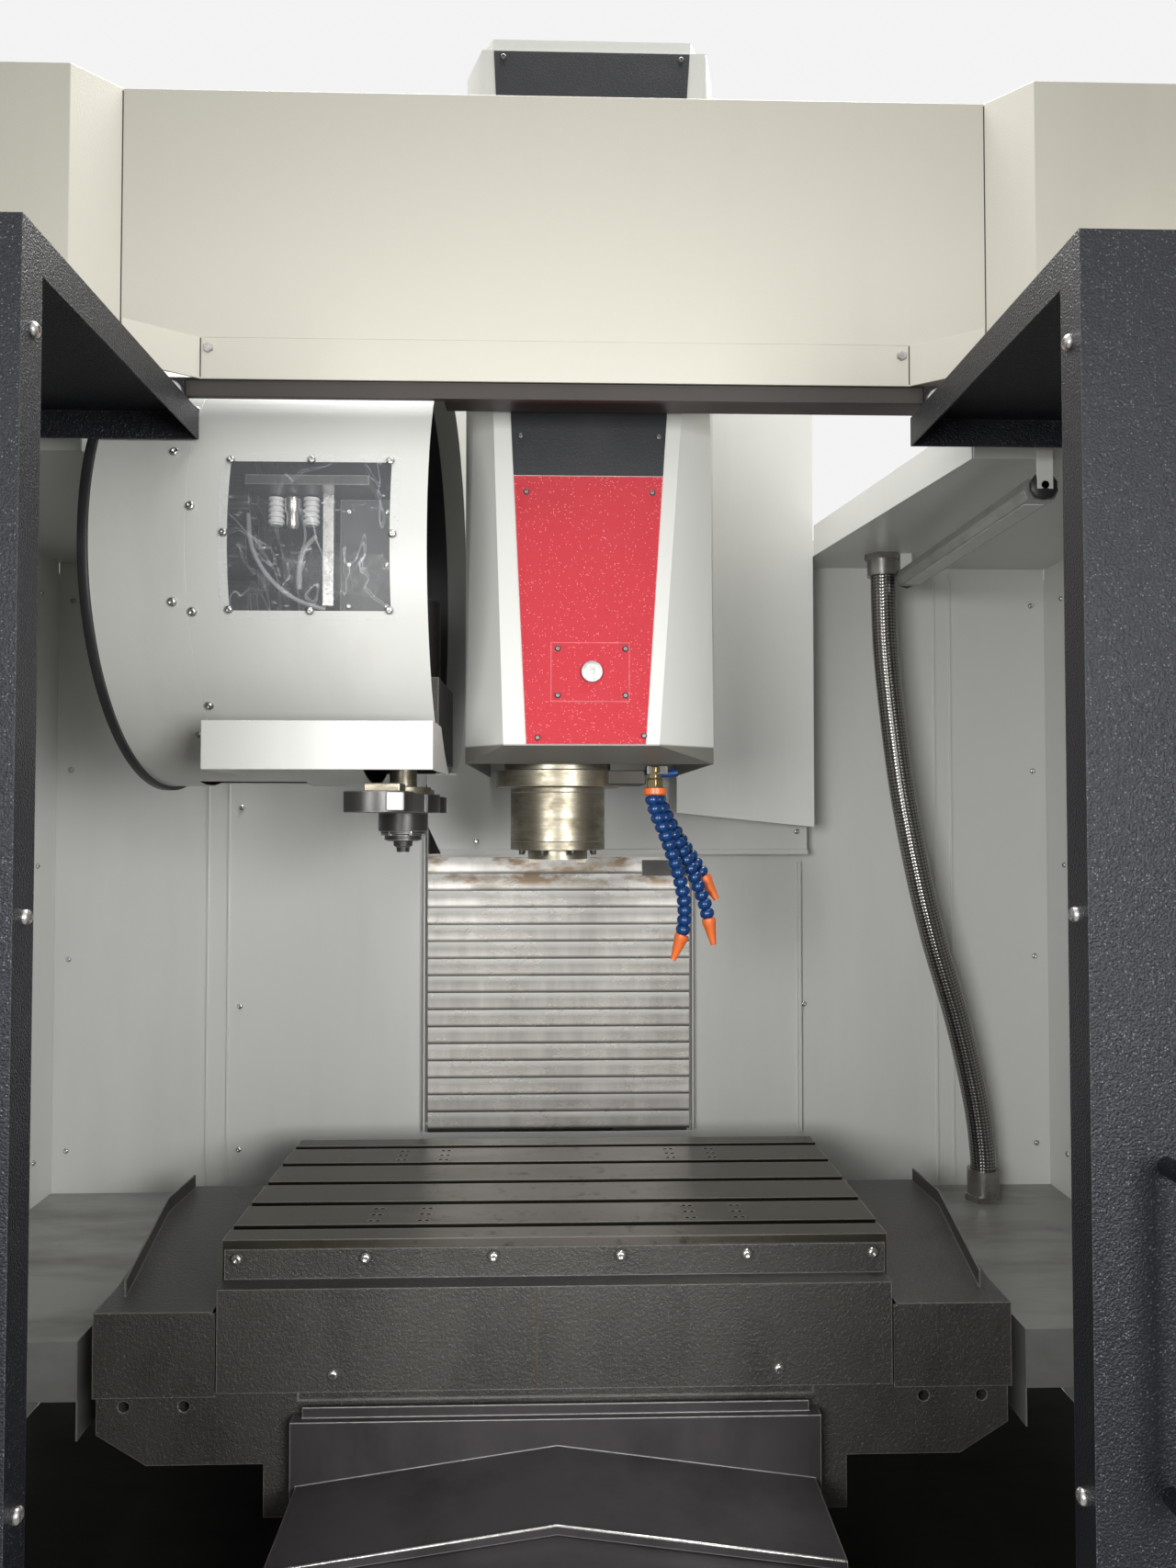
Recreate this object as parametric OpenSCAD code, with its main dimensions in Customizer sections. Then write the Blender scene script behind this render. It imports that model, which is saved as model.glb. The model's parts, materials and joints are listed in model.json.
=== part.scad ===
// A vertical machining center with a travelling table, an arm tool changer and two sliding front doors.
// Origin: the spindle axis at floor level. X to the right, Y to the rear, Z up. Millimetres.

/* [Table and saddle] */
// Length of the table along X
table_l = 1000; // [900:10:1020]
// Depth of the table along Y
table_d = 500; // [480:10:520]
// Height of the table's top above the floor
table_z = 870; // [866:1:880]
// Thickness of the table
table_t = 64; // [56:1:64]
// Place of the table's front edge in front of the spindle axis
table_front = 135; // [130:1:140]
// Width of a T-slot at the top
slot_w = 18; // [14:1:20]
// Distance between two T-slots
slot_pitch = 100; // [90:1:105]
// Number of T-slots
slot_count = 5; // [3:1:5]
// Height of the apron below the table
apron_h = 147; // [130:1:150]
// Half width of the saddle over its way covers
saddle_half_w = 677; // [660:1:680]
// Height of the way cover tops
wing_z = 778; // [774:1:780]
// Height of the guide strips on the way covers
strip_h = 25; // [15:1:25]

/* [Spindle head] */
// Diameter of the spindle nose
nose_d = 154; // [140:1:160]
// Diameter of the spindle flange
flange_d = 202; // [190:1:210]
// Diameter of the rotating spindle end
shaft_d = 97; // [80:1:100]
// Height of the rotating spindle end above the floor
nose_z = 1433; // [1425:1:1436]
// Height of the head cover's lower edge
head_z = 1584; // [1580:1:1590]
// Height of the head cover's cap
head_top = 2690; // [2650:5:2720]
// Width of the head cover
head_w = 387; // [370:1:392]
// Place of the head cover's middle beside the spindle axis
head_mid = 50; // [46:1:52]
// Place of the head cover's face in front of the spindle axis
head_face = 170; // [160:1:174]
// Height of the seam between the two head panels
panel_seam_z = 2014; // [1900:1:2050]

/* [Way covers behind the table] */
// Width of the stainless slat cover
slat_w = 554; // [540:1:556]
// Height of one pressed slat
slat_h = 36; // [34:1:37]
// Height of the cover's lower edge
slat_z = 840; // [830:1:842]
// Rise from one cover section to the next
slat_rise = 108; // [106:1:110]

/* [Enclosure] */
// Half width of the machine over its side panels
side_half_w = 1180; // [1160:1:1220]
// Half width between the inner walls
inner_half_w = 1060; // [1050:1:1070]
// Place of the door faces in front of the spindle axis
door_face = 790; // [785:1:800]
// Place of the rear wall behind the spindle axis
wall_y = 540; // [538:1:545]
// Height of the side trays
tray_z = 712; // [700:1:716]
// Height of the header's top
header_top = 2508; // [2450:1:2600]
// Height of the header's lower edge
header_z = 2161; // [2155:1:2200]
// Height of the door rail cover
band_h = 57; // [50:1:57]
// Height of the doors' top
door_top = 2060; // [2050:1:2060]
// Height of the doors' lower edge
door_z = 645; // [642:1:660]
// Width of one door
door_w = 640; // [610:1:660]
// Width of the opening between the open doors
doorway_w = 986; // [960:2:990]
// Thickness of a door leaf
door_t = 40; // [36:1:42]
// Thickness of the enclosure's sheet metal
sheet = 3; // [2:0.5:3]

/* [Tool changer] */
// Radius of the magazine cover
drum_r = 330; // [325:1:335]
// Height of the magazine's axis
drum_z = 1882; // [1880:1:1890]
// Place of the magazine's axis behind the spindle axis
drum_y = 10; // [0:1:15]
// Number of tool pots
pot_count = 20; // [12:1:20]
// Radius of the circle of tool pots
pot_ring_r = 243; // [240:1:244]
// Radius of one tool pot
pot_r = 34; // [26:1:34]
// Distance from the spindle axis to the changer arm's axis
arm_reach = 253; // [250:1:256]
// Height of the changer arm's lower face
arm_z = 1508; // [1500:1:1510]
// Thickness of the changer arm
arm_t = 30; // [24:1:30]

/* [Base] */
// Height of the levelling feet
foot_h = 60; // [50:1:70]
// Radius of a levelling foot's pad
foot_r = 60; // [45:1:70]
// Height of the bed's top
bed_z = 430; // [425:1:432]
// Half width of the bed's foot
bed_half_w = 480; // [460:1:490]
// Place of the bed's front in front of the spindle axis
bed_front = 735; // [730:1:740]
// Place of the bed's rear behind the spindle axis
bed_rear = 1100; // [1080:5:1110]
// Half width of the column
column_half_w = 285; // [270:1:288]
// Height of the column's top
column_top = 2450; // [2400:5:2500]
// Place of the column's front behind the spindle axis
column_y = 610; // [600:1:620]
// Height of a linear rail
rail_h = 45; // [40:1:46]
// Width of a linear rail
rail_w = 45; // [35:1:50]
// Radius of a ball screw
screw_r = 20; // [16:1:22]

/* [Cabinet, pendant and tank] */
// Width of the electrical cabinet
cabinet_w = 1200; // [1000:10:1300]
// Depth of the electrical cabinet
cabinet_d = 320; // [280:10:340]
// Height of the cabinet's top
cabinet_top = 2100; // [1900:10:2200]
// Height of the cabinet's lower edge
cabinet_z = 320; // [300:5:360]
// Width of the control pendant
pendant_w = 420; // [380:5:450]
// Height of the control pendant
pendant_h = 640; // [560:5:680]
// Depth of the coolant tank
tank_h = 205; // [180:5:210]

/* [Hidden] */
$fn = 64;
gap = 0.5;

// A block between its lowest and its highest corner
module block(low, high) translate(low) cube(high - low);
// A rod along X, Y or Z from a point
module rod_x(at, r, length) translate(at) rotate([0, 90, 0]) cylinder(r = r, h = length);
module rod_y(at, r, length) translate(at) rotate([-90, 0, 0]) cylinder(r = r, h = length);
module rod_z(at, r, length) translate(at) cylinder(r = r, h = length);
// A plan outline raised between two heights
module raised(z0, z1) translate([0, 0, z0]) linear_extrude(z1 - z0) children();
// An X-Z outline drawn out along Y
module along_y(y0, y1) translate([0, y1, 0]) rotate([90, 0, 0]) linear_extrude(y1 - y0) children();
// A Y-Z outline drawn out along X
module along_x(x0, x1) translate([x0, 0, 0]) rotate([90, 0, 90]) linear_extrude(x1 - x0) children();

rail_x = 300;
saddle_z = 478;
saddle_top = 700;
saddle_front = -table_front - 25;
saddle_rear = 375;
x_rail_y = [-60, 260];
screw_y_z = bed_z + 45;
x_screw_y = 100;

bed_edge = bed_half_w - 60;
module bed() color("dimgray") difference() {
    along_y(-bed_front, bed_rear) polygon([
        [-bed_half_w, foot_h], [bed_half_w, foot_h], [bed_half_w, foot_h + 90],
        [bed_edge, 300], [bed_edge, bed_z - gap], [rail_x + 60, bed_z - gap],
        [rail_x + 50, bed_z], [rail_x - 50, bed_z], [rail_x - 60, bed_z - 60],
        [-rail_x + 60, bed_z - 60], [-rail_x + 50, bed_z], [-rail_x - 50, bed_z],
        [-rail_x - 60, bed_z - gap], [-bed_edge, bed_z - gap], [-bed_edge, 300],
        [-bed_half_w, foot_h + 90],
    ]);
    for (y = [-560:280:840])
        block([-bed_half_w + 90, y, foot_h - 1], [bed_half_w - 90, y + 220, foot_h + 180]);
}

foot_y = [-640, 180, 1000];
module levelling_feet() color("gray") for (x = [-1, 1], y = foot_y)
    translate([x * (bed_half_w - 50), y, 0]) {
        cylinder(r = foot_r, h = foot_h * 0.4);
        cylinder(r = 16, h = foot_h);
        cylinder(r = 30, h = foot_h * 0.7, $fn = 6);
    }

column_rear = column_y + 450;
z_rail_x = 190;
module column() color("dimgray") difference() {
    along_x(-column_half_w, column_half_w) polygon([
        [column_y, bed_z], [column_rear, bed_z], [column_rear, bed_z + 240],
        [column_rear - 60, column_top - 500], [column_rear - 60, column_top], [column_y, column_top],
    ]);
    for (z = [600:420:2100])
        block([-column_half_w + 60, column_y + 60, z], [column_half_w - 60, column_rear + 1, z + 340]);
    block([-z_rail_x + 70, column_y - 1, 700], [z_rail_x - 70, column_y + 55, column_top - 120]);
    block([-rail_x + 60, column_y - 1, bed_z - 1], [rail_x - 60, column_y + 90, bed_z + 110]);
}

z_rail_low = 1010;
z_screw_y = column_y - 40;
module axis_drives() color("silver") {
    for (x = [-rail_x, rail_x])
        block([x - rail_w / 2, -bed_front + 30, bed_z],
              [x + rail_w / 2, column_y - gap, bed_z + rail_h]);
    for (x = [-z_rail_x, z_rail_x])
        block([x - rail_w / 2, column_y - rail_h, z_rail_low],
              [x + rail_w / 2, column_y, column_top - 20]);
    // Y screw in its two bearing blocks, with the motor at the rear
    rod_y([0, -640, screw_y_z], screw_r, 1230);
    for (y = [-660, 560])
        block([-70, y, bed_z - 60], [70, y + 45, screw_y_z + 40]);
    rod_y([0, -700, screw_y_z], 40, 40);
    // Z screw in its two bearing blocks, with the motor on top
    rod_z([0, z_screw_y, z_rail_low + 20], screw_r, column_top - z_rail_low - 100);
    for (z = [z_rail_low, column_top - 90])
        block([-80, z_screw_y - 27, z], [80, column_y, z + 60]);
    rod_z([0, z_screw_y, column_top - 30], 30, 30);
    block([-65, z_screw_y - 65, column_top], [65, column_y + 60, column_top + 20]);
    rod_z([0, z_screw_y, column_top + 20], 60, 150);
}

// Trays and chip pans beside the saddle
tray_in = saddle_half_w + 45;
tray_front = 110;
pan_front = -door_face + 55;
module chip_trays() color("silver") {
    tray_side();
    mirror([1, 0, 0]) tray_side();
    // Drain into the coolant tank
    rod_z([drain.x, drain.y, tank_z + tank_h + 0.4], 30, 297 - tank_z - tank_h - 0.4);
}
drain = [775, 200];
module tray_side() {
    block([tray_in, -tray_front, tray_z - sheet], [inner_half_w, wall_y, tray_z]);
    block([tray_in, -tray_front, tray_z - 90], [inner_half_w, -tray_front + sheet, tray_z - sheet]);
    block([tray_in, -tray_front + sheet, tray_z - 150], [tray_in + sheet, wall_y, tray_z - sheet]);
    block([bed_edge + 1.5, pan_front, 297], [inner_half_w, wall_y, 300]);
    block([bed_edge + 1.5, pan_front, 300], [bed_edge + 1.5 + sheet, wall_y, 330]);
}

slat_mid = 3;
wall_hole_l = slat_mid - slat_w / 2 - 6;
wall_hole_r = slat_mid + slat_w / 2 + 6;
frame_cut = [[-700, 1700], [wall_hole_l + 1, 1860]];
module back_wall() color("gainsboro") {
    along_y(wall_y, wall_y + sheet) difference() {
        translate([-inner_half_w, 300]) square([inner_half_w * 2, door_top + 40 - 300]);
        translate([wall_hole_l, slat_z - 8])
            square([wall_hole_r - wall_hole_l, door_top - slat_z + 60]);
        translate([-bed_edge - 3, 290]) square([bed_edge * 2 + 6, 310]);
        translate(frame_cut[0]) square(frame_cut[1] - frame_cut[0]);
    }
    // Folded seams and the guide channels of the slat cover
    for (x = [-739, -696, 815, 850])
        block([x - 2, wall_y - 4, tray_z], [x + 2, wall_y, door_top - 30]);
    for (x = [wall_hole_l - 2, wall_hole_r - 1])
        block([x, wall_y - 22, slat_z], [x + 3, wall_y + 1, slat_z + 730]);
    block([514, wall_y - 12, 833], [521, wall_y, 1403]);
}

side_y = [-door_face + door_t + 8 + sheet, wall_y + 200];
side_cap_z = door_top - 42;
module side_box() {
    block([inner_half_w, side_y[0], 300], [inner_half_w + sheet, side_y[1], side_cap_z]);
    block([side_half_w - sheet, side_y[0], foot_h], [side_half_w, side_y[1], header_z]);
    block([inner_half_w, side_y[1] - sheet, 300], [side_half_w - sheet, side_y[1], side_cap_z]);
    block([inner_half_w + sheet, side_y[0], 300], [side_half_w - sheet, side_y[1] - sheet, 300 + sheet]);
    block([inner_half_w, side_y[0], side_cap_z - sheet], [side_half_w - sheet, side_y[1], side_cap_z]);
    for (y = [-400, 0, 400])
        block([inner_half_w + sheet, y, 300 + sheet], [side_half_w - sheet, y + sheet, side_cap_z]);
    for (z = [foot_h + 200, 1150, 1600])
        block([side_half_w, side_y[0] + 120, z], [side_half_w + 2, side_y[1] - 120, z + 2]);
}
module side_left() color("whitesmoke") mirror([1, 0, 0]) side_box();
module side_right() color("whitesmoke") side_box();

// The header: a flat panel between two forward outer panels joined by 45 degree folds
header_y = -300;
header_out_y = -350;
header_half_w = 600;
function header_outline(t) = [
    [-side_half_w, header_out_y], [-header_half_w - 50, header_out_y],
    [-header_half_w, header_y], [header_half_w, header_y], [header_half_w + 50, header_out_y],
    [side_half_w, header_out_y], [side_half_w, header_out_y + t],
    [header_half_w + 50 - t * 0.4, header_out_y + t], [header_half_w - t * 0.4, header_y + t],
    [-header_half_w + t * 0.4, header_y + t], [-header_half_w - 50 + t * 0.4, header_out_y + t],
    [-side_half_w, header_out_y + t],
];
module upper_housing() color("ivory") {
    raised(header_z, header_top) polygon(header_outline(sheet));
    raised(header_top - sheet, header_top) polygon(header_outline(40));
    raised(header_z, header_z + sheet) polygon(header_outline(60));
    for (s = [-1, 1]) mirror([s < 0 ? 1 : 0, 0, 0]) {
        block([side_half_w - sheet, header_out_y + sheet, header_z],
              [side_half_w, side_y[1], header_top - 30]);
        block([side_half_w - 60, header_out_y + sheet, header_top - 33],
              [side_half_w - sheet, side_y[1], header_top - 30]);
    }
}

band_y = -300;
band_z = header_z - band_h;
band_half_w = 491;
module header_band() color("ivory") {
    raised(band_z, header_z) polygon([
        [-575, band_y - 58], [-band_half_w, band_y], [band_half_w, band_y], [575, band_y - 58],
        [577, band_y - 55], [band_half_w + 1, band_y + sheet],
        [-band_half_w - 1, band_y + sheet], [-577, band_y - 55],
    ]);
    raised(header_z - sheet, header_z) polygon([
        [-band_half_w, band_y + sheet], [band_half_w, band_y + sheet],
        [band_half_w, band_y + 60], [-band_half_w, band_y + 60],
    ]);
}

// Soffit, upper rail and lower rail of the doors
rail_y = -288;
rail_half = 5;
soffit_rear = -187;
soffit_notch = [-652, -165];
module door_rails() color("rosybrown") {
    raised(band_z, band_z + sheet) difference() {
        translate([-side_half_w + sheet, band_y + sheet])
            square([2 * (side_half_w - sheet), soffit_rear - band_y - sheet]);
        translate([soffit_notch[0], -252]) square([soffit_notch[1] - soffit_notch[0], 100]);
    }
    block([-side_half_w + sheet, soffit_rear - sheet, band_z + sheet],
          [soffit_notch[0], soffit_rear, header_z]);
    block([soffit_notch[1], soffit_rear - sheet, band_z + sheet],
          [side_half_w - sheet, soffit_rear, header_z]);
    block([-side_half_w + sheet, rail_y - rail_half, band_z - 22],
          [side_half_w - sheet, rail_y + rail_half, band_z]);
}

front_y = -door_face + door_t + 8;
post_x = 560;
sill_z = 250;
module front_panels() color("ivory") {
    for (s = [-1, 1]) mirror([s < 0 ? 1 : 0, 0, 0]) {
        block([post_x, front_y, door_z], [side_half_w, front_y + sheet, door_top - 60]);
        block([post_x, front_y + sheet, door_z], [post_x + sheet, front_y + 40, door_top - 60]);
    }
    // The sill panel with the lower door track on top
    block([-side_half_w, front_y - 30, sill_z], [side_half_w, front_y - 30 + sheet, door_z - 15]);
    block([-side_half_w, front_y - 30 + sheet, door_z - 18], [side_half_w, front_y + sheet, door_z - 15]);
    block([-inner_half_w, front_y + sheet, door_z - 18], [inner_half_w, front_y + 60, door_z - 15]);
    block([-side_half_w, front_y, door_z - 15], [side_half_w, front_y + sheet, door_z]);
    for (x = [-side_half_w, side_half_w - 60])
        block([x, front_y - 27, foot_h], [x + 60, front_y - 27 + sheet, sill_z + 40]);
    for (x = [-side_half_w, 440])
        block([x, front_y - 27, sill_z], [x + side_half_w - 440, front_y - 24, sill_z + 60]);
    block([-440, front_y - 27, sill_z], [440, -bed_front, sill_z + 40]);
}

roof_z = door_top - 20;
roof_edge = [[529, 430], [622, soffit_rear]];
roof_left = -700;
module roof_panels() color("whitesmoke") {
    raised(roof_z, roof_z + sheet) polygon([
        [roof_edge[0].x, wall_y], each roof_edge, [side_half_w - sheet, soffit_rear],
        [side_half_w - sheet, wall_y],
    ]);
    raised(roof_z + sheet, band_z) polygon([
        each roof_edge, roof_edge[1] + [sheet, 0], roof_edge[0] + [sheet, 0],
    ]);
    raised(roof_z, roof_z + sheet) polygon([
        [roof_left, wall_y], [roof_left, soffit_rear], [-side_half_w + sheet, soffit_rear],
        [-side_half_w + sheet, wall_y],
    ]);
    block([roof_left - sheet, soffit_rear, roof_z + sheet], [roof_left, wall_y, band_z]);
    // Brackets of the work lamp
    for (y = lamp_y) block([lamp_x - 12, y - 2, lamp_z - 6], [lamp_x + 12, y + 2, roof_z]);
}

lamp_x = 713;
lamp_z = 1988;
lamp_y = [-230, 404];
module work_lamp() color("white") {
    rod_y([lamp_x, lamp_y[0] + 2.3, lamp_z], 4, lamp_y[1] - lamp_y[0] - 4.6);
    along_y(lamp_y[0] + 12, lamp_y[1] - 12) polygon([for (p = [
        [-21, 12], [-26, -4], [-20, -18], [20, -18], [26, -4], [21, 12],
    ]) p + [lamp_x, lamp_z]]);
}

// The braided conduit from the roof to the tray
conduit_r = 25;
conduit_points = [
    [670, 420, 2010], [670, 420, 1975], [671, 419, 1920], [672, 417, 1860], [676, 415, 1800],
    [681, 413, 1740], [688, 411, 1670], [695, 410, 1610], [704, 409, 1545], [715, 409, 1480],
    [728, 410, 1415], [742, 412, 1350], [757, 415, 1290], [775, 419, 1225], [795, 425, 1165],
    [814, 432, 1108], [831, 439, 1050], [847, 446, 990], [861, 451, 930], [872, 454, 870],
    [878, 455, 815], [880, 455, 785], [880, 455, 760],
];
module hose_fittings() color("gray") {
    for (e = [[conduit_points[0], roof_z, 1], [conduit_points[len(conduit_points) - 1], tray_z, -1]])
        translate([e[0].x, e[0].y, e[1]]) mirror([0, 0, e[2] > 0 ? 1 : 0]) difference() {
            union() {
                cylinder(r = 38, h = 12, $fn = 6);
                cylinder(r = 32, h = abs(e[0].z - e[1]) + 14);
            }
            translate([0, 0, abs(e[0].z - e[1])]) cylinder(r = conduit_r + gap, h = 30);
        }
}
function unit(v) = v / norm(v);
function tangent(p, i) = unit(p[min(i + 1, len(p) - 1)] - p[max(i - 1, 0)]);
function ring(p, i, r, sides) =
    let (t = tangent(p, i), u = unit(cross(t, [0, 1, 0])), v = cross(t, u))
    [for (k = [0:sides - 1]) p[i] + r * (cos(360 * k / sides) * u + sin(360 * k / sides) * v)];
module swept_tube(p, r, sides = 10) {
    rings = [for (i = [0:len(p) - 1]) each ring(p, i, r, sides)];
    last = (len(p) - 1) * sides;
    polyhedron(rings, concat(
        [[for (k = [0:sides - 1]) k]],
        [for (i = [0:len(p) - 2], k = [0:sides - 1])
            [i * sides + k, (i + 1) * sides + k, (i + 1) * sides + (k + 1) % sides,
             i * sides + (k + 1) % sides]],
        [[for (k = [sides - 1:-1:0]) last + k]]));
}
module cable_conduit() color("darkgray") swept_tube(conduit_points, conduit_r);

cabinet_y = bed_rear;
module electrical_cabinet() color("gainsboro") {
    difference() {
        block([-cabinet_w / 2, cabinet_y, cabinet_z], [cabinet_w / 2, cabinet_y + cabinet_d, cabinet_top]);
        block([-cabinet_w / 2 + sheet, cabinet_y + sheet, cabinet_z + sheet],
              [cabinet_w / 2 - sheet, cabinet_y + cabinet_d + 1, cabinet_top - sheet]);
    }
    for (z = hinge_z) hinge_knuckle(z);
}
module cabinet_gear() color("darkkhaki") {
    back = cabinet_y + sheet;
    block([-cabinet_w / 2 + 60, back, cabinet_z + 80], [cabinet_w / 2 - 60, back + 10, cabinet_top - 80]);
    for (i = [0:4])
        block([-cabinet_w / 2 + 110 + i * 170, back + 10, cabinet_top - 620],
              [-cabinet_w / 2 + 230 + i * 170, back + 190, cabinet_top - 200]);
    for (i = [0:8])
        block([-cabinet_w / 2 + 110 + i * 105, back + 10, cabinet_top - 900],
              [-cabinet_w / 2 + 180 + i * 105, back + 100, cabinet_top - 780]);
    block([-cabinet_w / 2 + 110, back + 10, cabinet_z + 160],
          [-cabinet_w / 2 + 460, back + 200, cabinet_z + 480]);
}
cabinet_door_y = cabinet_y + cabinet_d + 0.4;
// Knuckles of the door's hinges
hinge_at = [-cabinet_w / 2 - 6, cabinet_door_y + 5];
hinge_r = 5;
hinge_z = [cabinet_z + 200, cabinet_top - 260];
module hinge_knuckle(z) {
    rod_z([each hinge_at, z - 31], hinge_r, 30);
    block([-cabinet_w / 2 - 9, cabinet_door_y - 30, z - 31], [-cabinet_w / 2, hinge_at.y, z - 1]);
}
module cabinet_door() color("gainsboro") {
    block([-cabinet_w / 2 + 4, cabinet_door_y, cabinet_z + 4],
          [cabinet_w / 2 - 4, cabinet_door_y + sheet, cabinet_top - 4]);
    block([cabinet_w / 2 - 60, cabinet_door_y + sheet, 1150],
          [cabinet_w / 2 - 36, cabinet_door_y + 26, 1290]);
    for (z = hinge_z) {
        rod_z([each hinge_at, z - 0.7], hinge_r, 30);
        block([hinge_at.x, cabinet_door_y, z - 0.7], [-cabinet_w / 2 + 4, cabinet_door_y + sheet, z + 29.3]);
    }
}

pendant_x = 1000;
pendant_y = -1000;
arm_low = header_z + 20;
pendant_top = 1760;
module pendant_arm() color("ivory") {
    block([pendant_x - 45, pendant_y - 45, arm_low], [pendant_x + 45, header_out_y, arm_low + 80]);
    raised(arm_low, arm_low + 60) polygon([
        [pendant_x - 45, -640], [pendant_x - 300, header_out_y], [pendant_x - 45, header_out_y],
    ]);
    rod_z([pendant_x, pendant_y, pendant_top + 40], 30, arm_low - pendant_top - 40);
}
module pendant_box() color("ivory") difference() {
    union() {
        block([pendant_x - pendant_w / 2, pendant_y - 60, pendant_top - pendant_h],
              [pendant_x + pendant_w / 2, pendant_y + 80, pendant_top]);
        rod_z([pendant_x, pendant_y, pendant_top], 42, 39.7);
    }
    block([pendant_x - pendant_w / 2 + sheet, pendant_y - 61, pendant_top - pendant_h + sheet],
          [pendant_x + pendant_w / 2 - sheet, pendant_y + 80 - sheet, pendant_top - sheet]);
}
face_y = pendant_y - 57;
button_x = pendant_x + pendant_w / 2 - 60;
button_z = pendant_top - pendant_h + 70;
wheel_x = pendant_x - pendant_w / 2 + 90;
module pendant_face() color("dimgray") {
    difference() {
        block([pendant_x - pendant_w / 2 + sheet, face_y, pendant_top - pendant_h + sheet],
              [pendant_x + pendant_w / 2 - sheet, face_y + 8, pendant_top - sheet]);
        block([pendant_x - 150, face_y - 1, pendant_top - 270],
              [pendant_x + 150, face_y + 3, pendant_top - 40]);
        rod_y([button_x, face_y - 1, button_z], 12.3, 20);
    }
    for (i = [0:9], j = [0:5])
        block([pendant_x - 150 + i * 30, face_y - 3, pendant_top - 460 + j * 26],
              [pendant_x - 128 + i * 30, face_y, pendant_top - 440 + j * 26]);
    rod_y([wheel_x, face_y - 8, button_z + 10], 12, 8);
}
module emergency_button() color("red") {
    rod_y([button_x, face_y - 30, button_z], 20, 14);
    rod_y([button_x, face_y - 16, button_z], 12, 26);
}
module handwheel() color("black") {
    translate([wheel_x, face_y - 8.3, button_z + 10]) rotate([90, 0, 0]) {
        difference() {
            cylinder(r = 34, h = 16);
            translate([0, 0, 10]) cylinder(r = 26, h = 10);
        }
        translate([24, 0, 16]) cylinder(r = 5, h = 18);
    }
}

tank_x = [520, 1030];
tank_y = [-710, 520];
tank_z = 42;
module coolant_tank() color("lightsteelblue") {
    difference() {
        block([tank_x[0], tank_y[0], tank_z], [tank_x[1], tank_y[1], tank_z + tank_h]);
        block([tank_x[0] + sheet, tank_y[0] + sheet, tank_z + sheet],
              [tank_x[1] - sheet, tank_y[1] - sheet, tank_z + tank_h + 1]);
    }
    block([tank_x[0] + sheet, drain.y - 100, tank_z + tank_h - sheet],
          [tank_x[1] - sheet, drain.y + 100, tank_z + tank_h]);
    block([tank_x[0] + sheet, -50, tank_z + 150], [tank_x[1] - sheet, -47, tank_z + tank_h - 10]);
    for (x = [tank_x[0] + 60, tank_x[1] - 90], y = [tank_y[0] + 90, tank_y[1] - 90])
        rod_x([x, y, 21], 21, 30);
}

// Tool changer
module magazine_frame() color("dimgray") {
    block([-420, drum_y + 30, drum_z - 160], [-320, column_y + 200, drum_z - 40]);
    block([-420, column_y + 40, drum_z - 160], [-column_half_w, column_y + 240, drum_z - 40]);
    block([-420, drum_y + 30, drum_z - 160], [-320, drum_y + 90, drum_z + 80]);
    rod_x([-432, drum_y, drum_z], 40, 112);
    block([-420, drum_y - 40, drum_z - 50], [-320, drum_y + 90, drum_z + 50]);
}
drum_x = [-638, -503, -178];
module drum_shell(x0, x1, end) difference() {
    rod_x([x0, drum_y, drum_z], drum_r, x1 - x0);
    rod_x([x0 + (end ? sheet : -1), drum_y, drum_z], drum_r - sheet, x1 - x0 + 2);
    // Clearance for the tool pot that swings down and for the bracket at the rear
    block([-570, drum_y - 60, drum_z - drum_r - 5], [-400, drum_y + 60, drum_z - drum_r + 60]);
    block([-421, drum_y + 20, drum_z - 161], [-319, drum_y + drum_r + 20, drum_z + 10]);
}
window_x = [-447, -228];
window_z = [1783, 1989];
module magazine_cover() color("whitesmoke") difference() {
    drum_shell(drum_x[1], drum_x[2], false);
    block([window_x[0], drum_y - drum_r - 5, window_z[0]], [window_x[1], drum_y - 200, window_z[1]]);
    block([-300, drum_y - 120, drum_z - drum_r - 5], [-170, drum_y + 120, drum_z - drum_r + 60]);
}
module magazine_end_cover() color("whitesmoke") {
    drum_shell(drum_x[0], drum_x[1], true);
    difference() {
        rod_x([drum_x[0] - 6, drum_y, drum_z], drum_r + 6, 12);
        rod_x([drum_x[0] - 7, drum_y, drum_z], drum_r, 14);
    }
}
window_lap = 12;
module magazine_window() color("lightblue", 0.4) intersection() {
    difference() {
        rod_x([window_x[0] - window_lap, drum_y, drum_z], drum_r + 2,
              window_x[1] - window_x[0] + 2 * window_lap);
        rod_x([window_x[0] - window_lap - 1, drum_y, drum_z], drum_r, 300);
    }
    block([window_x[0] - window_lap, drum_y - drum_r - 5, window_z[0] - window_lap],
          [window_x[1] + window_lap, drum_y - 200, window_z[1] + window_lap]);
}
disc_x = -436;
pot_l = 70;
pot_bottom_z = drum_z - pot_ring_r;
module tool_pot() difference() {
    union() {
        rod_x([disc_x - pot_l, drum_y, pot_bottom_z], pot_r, pot_l);
        rod_x([disc_x - pot_l, drum_y, pot_bottom_z], pot_r + 3, 10);
    }
    rod_x([disc_x - pot_l - 1, drum_y, pot_bottom_z], pot_r - 12, pot_l - 8);
}
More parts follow.
